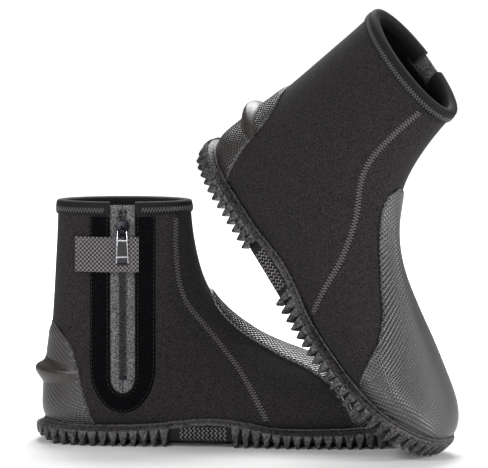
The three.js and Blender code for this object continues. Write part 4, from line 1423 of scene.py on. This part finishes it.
# %% Teeth, lugs and ribs
def tooth_rings():
    """From the ground up to the band, with its height as 1."""
    levels = [(0, 0.55, 1.3), (0.06, 0.95, 2.1), (0.3, 1.7, 2.8), (0.55, 2.55, 3.0), (0.78, 3.25, 2.9)]
    levels += [(0.92, 3.7, 2.6), (1.0, 3.8, 2.3)]
    rings = []
    for z, half, out in levels:
        c = min(0.8, half * 0.45)
        ring = [(-half, -6.8), (half, -6.8), (half, out - c), (half - c, out), (-half + c, out), (-half, out - c)]
        rings.append([(x, y, z) for x, y in ring])
    return rings


edge_tooth, tooth_gap = loft_shape("edge_tooth", tooth_rings()), 7.6


def upright(along, out):
    """Turns along so that z stays up: x is along, y is out and z is their product."""
    product = np.cross(along, out)
    return np.where(product[:, 2:] < 0, -along, along)


def make_edge_teeth(side):
    edge = plan_loop + plan_out * wall_mm
    closed = np.vstack([edge, edge[:1]])
    length = lengths_along(closed)
    count = int(round(length[-1] / tooth_gap))
    marks = np.arange(count) / count * length[-1]
    at = at_marks(marks, length, closed)
    out = at_marks(marks, length, np.vstack([plan_out, plan_out[:1]]))
    use = (at[:, 0] < arch_from) | (at[:, 0] > arch_to)
    at, out = at[use], out[use]
    worn = np.random.default_rng(4)
    at = at + out * worn.uniform(-0.5, 0.15, (len(at), 1))
    out = out + worn.uniform(-0.07, 0.07, out.shape)
    foot = ground_rise(at[:, 0])
    high = rand_height(at[:, 0]) - band_high + 0.9 - foot
    points = np.column_stack([at, foot])
    out = np.column_stack([out, np.zeros(len(out))])
    along = np.column_stack([-out[:, 1], out[:, 0], np.zeros(len(out))])
    return repeat("edge_teeth", side, points, out, upright(along, out), edge_tooth, tooth_rubber, stretch=high)


def inside_outline(outline, x, y):
    ahead = np.roll(outline, -1, axis=0)
    with np.errstate(all="ignore"):
        cross_x = (ahead[:, 0] - outline[:, 0]) * (y - outline[:, 1]) / (ahead[:, 1] - outline[:, 1]) + outline[:, 0]
    return np.sum(((outline[:, 1] > y) != (ahead[:, 1] > y)) & (x < cross_x)) % 2 == 1


def make_lugs(side):
    half, limit = 7.5, plan_loop - plan_out * 14.5
    spots = [(c * 11.5 + 4, (row + (c % 2) / 2) * 23) for c in range(1, 26) for row in range(-4, 5)]
    spots = [p for p in spots if not arch_from - 6 < p[0] < arch_to + 6 and inside_outline(limit, *p)]
    points = [(x, y, float(ground_rise(np.array(x)))) for x, y in spots]
    rings = []
    for z, s in ((0, 0.86), (0.5, 0.97), (4.2, 1.0), (5.0, 1.0)):
        rings.append([(-half * s, 0, z), (0, -half * s, z), (half * s, 0, z), (0, half * s, z)])
    lug = loft_shape("tread_lug", rings)
    out, along = (np.tile(way, (len(points), 1)) for way in ([0, 1.0, 0], [1.0, 0, 0]))
    return repeat("tread_lugs", side, points, out, along, lug, tooth_rubber)


def make_arch_ribs(side):
    rings = []
    for z in np.linspace(5.2, 15.4, 26):
        sway, thick = 0.9 * math.sin(z * 1.9), 0.6 * math.sqrt(max(1 - ((z - 10.3) / 5.6) ** 2, 0.05))
        corners = ((-thick, -0.5), (-thick * 0.6, 1.4), (thick * 0.6, 1.4), (thick, -0.5))
        rings.append([(sway + x, y, z) for x, y in corners])
    rib = loft_shape("arch_rib", rings)
    xs = np.linspace(109, 141, 11)
    inner, outer = plan_reach(xs)
    points = np.vstack([np.column_stack([xs, y, 0 * xs]) for y in (inner - wall_mm, outer + wall_mm)])
    out = np.repeat([[0, -1.0, 0], [0, 1.0, 0]], len(xs), axis=0)
    along = np.tile([1.0, 0, 0], (len(points), 1))
    return repeat("arch_ribs", side, points, out, upright(along, out), rib, rib_rubber)


# %% [markdown]
# ### Insole
# A flat foam insole lies in each boot. Only its heel end can be seen, down the shaft.

# %% Insole
def make_insole(side):
    xs = np.linspace(heel_end + 7, toe_end - 8, 60)
    inner, outer = reach(xs, np.full(len(xs), 17.0))
    ok = ~np.isnan(inner)
    xs, inner, outer = xs[ok], inner[ok] + 6.2, outer[ok] - 6.2
    middle = (inner + outer) / 2
    rounded_ends = np.clip(1 - np.abs(2 * np.linspace(0, 1, len(xs)) - 1) ** 14, 0.02, 1)
    half = np.maximum((outer - inner) / 2, 2) * np.sqrt(rounded_ends)
    x = xs[:, None] + np.zeros(12)
    y = middle[:, None] + half[:, None] * np.linspace(-1, 1, 12)
    top, bottom = (np.stack([x, y, np.full_like(x, z)], -1) for z in (17.5, 14.6))
    points, faces = slab(top, bottom)
    obj = make(f"{side}_insole", side, points, faces, foam)
    face_out(obj.data)
    return finish_piece(obj, side, ["insole"])


# %% [markdown]
# ## Building both boots

# %% Build
first_pieces = (make_vamp, make_lateral_quarter, make_medial_quarter, make_toe_guard, make_heel_guard)
first_pieces += (make_strap_ledge, make_binding, make_surround, make_gusset)
last_pieces = (make_stops, make_slider, make_puller, make_tab, make_seam_stitching, make_surround_stitching)
last_pieces += (make_binding_stitching, make_insole, make_outsole)
for side in ("left", "right"):
    for build in first_pieces:
        build(side)
    for sign in (1, -1):
        make_tape(side, sign)
        make_teeth(side, sign)
    for build in last_pieces:
        build(side)
    print(side, "boot built")

# %% [markdown]
# ## Floor and light
# A plain pale floor that glows away from the boots, so that it meets the white surround without a line. A broad
# light above and behind throws the shadow forward. A small one at the upper left and one low in front light the zip
# side, one at the right draws the highlight on the toe rubber, and a pale sky fills the shadows.

# %% Stage
paper, tree, shader = new_material("matt_paper", "f7f7f7", 0.95, specular=0.1)
place = add(tree, "ShaderNodeTexCoord").outputs["Object"]
distance = add(tree, "ShaderNodeVectorMath", {"operation": "LENGTH"}, n0=place).outputs["Value"]
rise = {"interpolation_type": "SMOOTHSTEP"}
spread_out = add(tree, "ShaderNodeMapRange", rise, n0=distance, n1=0.2, n2=0.7, n3=0.0, n4=0.9)
shader.inputs["Emission Color"].default_value = (1, 1, 1, 1)
seen = add(tree, "ShaderNodeLightPath").outputs["Is Camera Ray"]
tree.links.new(calc(tree, "MULTIPLY", spread_out.outputs["Result"], seen), shader.inputs["Emission Strength"])
floor_mesh = bpy.data.meshes.new("floor")
floor_mesh.from_pydata([(-6, -6, 0), (6, -6, 0), (6, 6, 0), (-6, 6, 0)], [], [(0, 1, 2, 3)])
floor_mesh.materials.append(paper)
floor = new_object("floor", floor_mesh)

world = bpy.data.worlds.new("pale_sky")
world.use_nodes = True
sky = world.node_tree
sky.nodes.clear()
seen = add(sky, "ShaderNodeLightPath").outputs["Is Camera Ray"]
strength = calc(sky, "ADD", 0.24, calc(sky, "MULTIPLY", seen, 0.8))
glow = add(sky, "ShaderNodeBackground", Color=(1, 1, 1, 1), Strength=strength)
add(sky, "ShaderNodeOutputWorld", Surface=glow.outputs[0])
bpy.context.scene.world = world


def area_light(name, place, aim, size, power):
    data = bpy.data.lights.new(name, "AREA")
    data.shape, data.size, data.energy = "SQUARE", size, power
    lamp = new_object(name, data)
    lamp.location = place
    lamp.rotation_euler = (Vector(aim) - Vector(place)).to_track_quat("-Z", "Y").to_euler()


area_light("key_light", (-1.1, -1.3, 1.2), (0, 0, 0.12), 0.35, 14)
area_light("front_light", (-0.45, -2.1, 0.55), (0, 0, 0.12), 0.3, 9)
area_light("right_light", (1.4, -0.6, 0.6), (0.1, 0, 0.12), 0.45, 15)
area_light("top_light", (0.0, 0.95, 1.35), (0, 0, 0.05), 0.9, 31)
bpy.context.scene.view_settings.view_transform = "Standard"
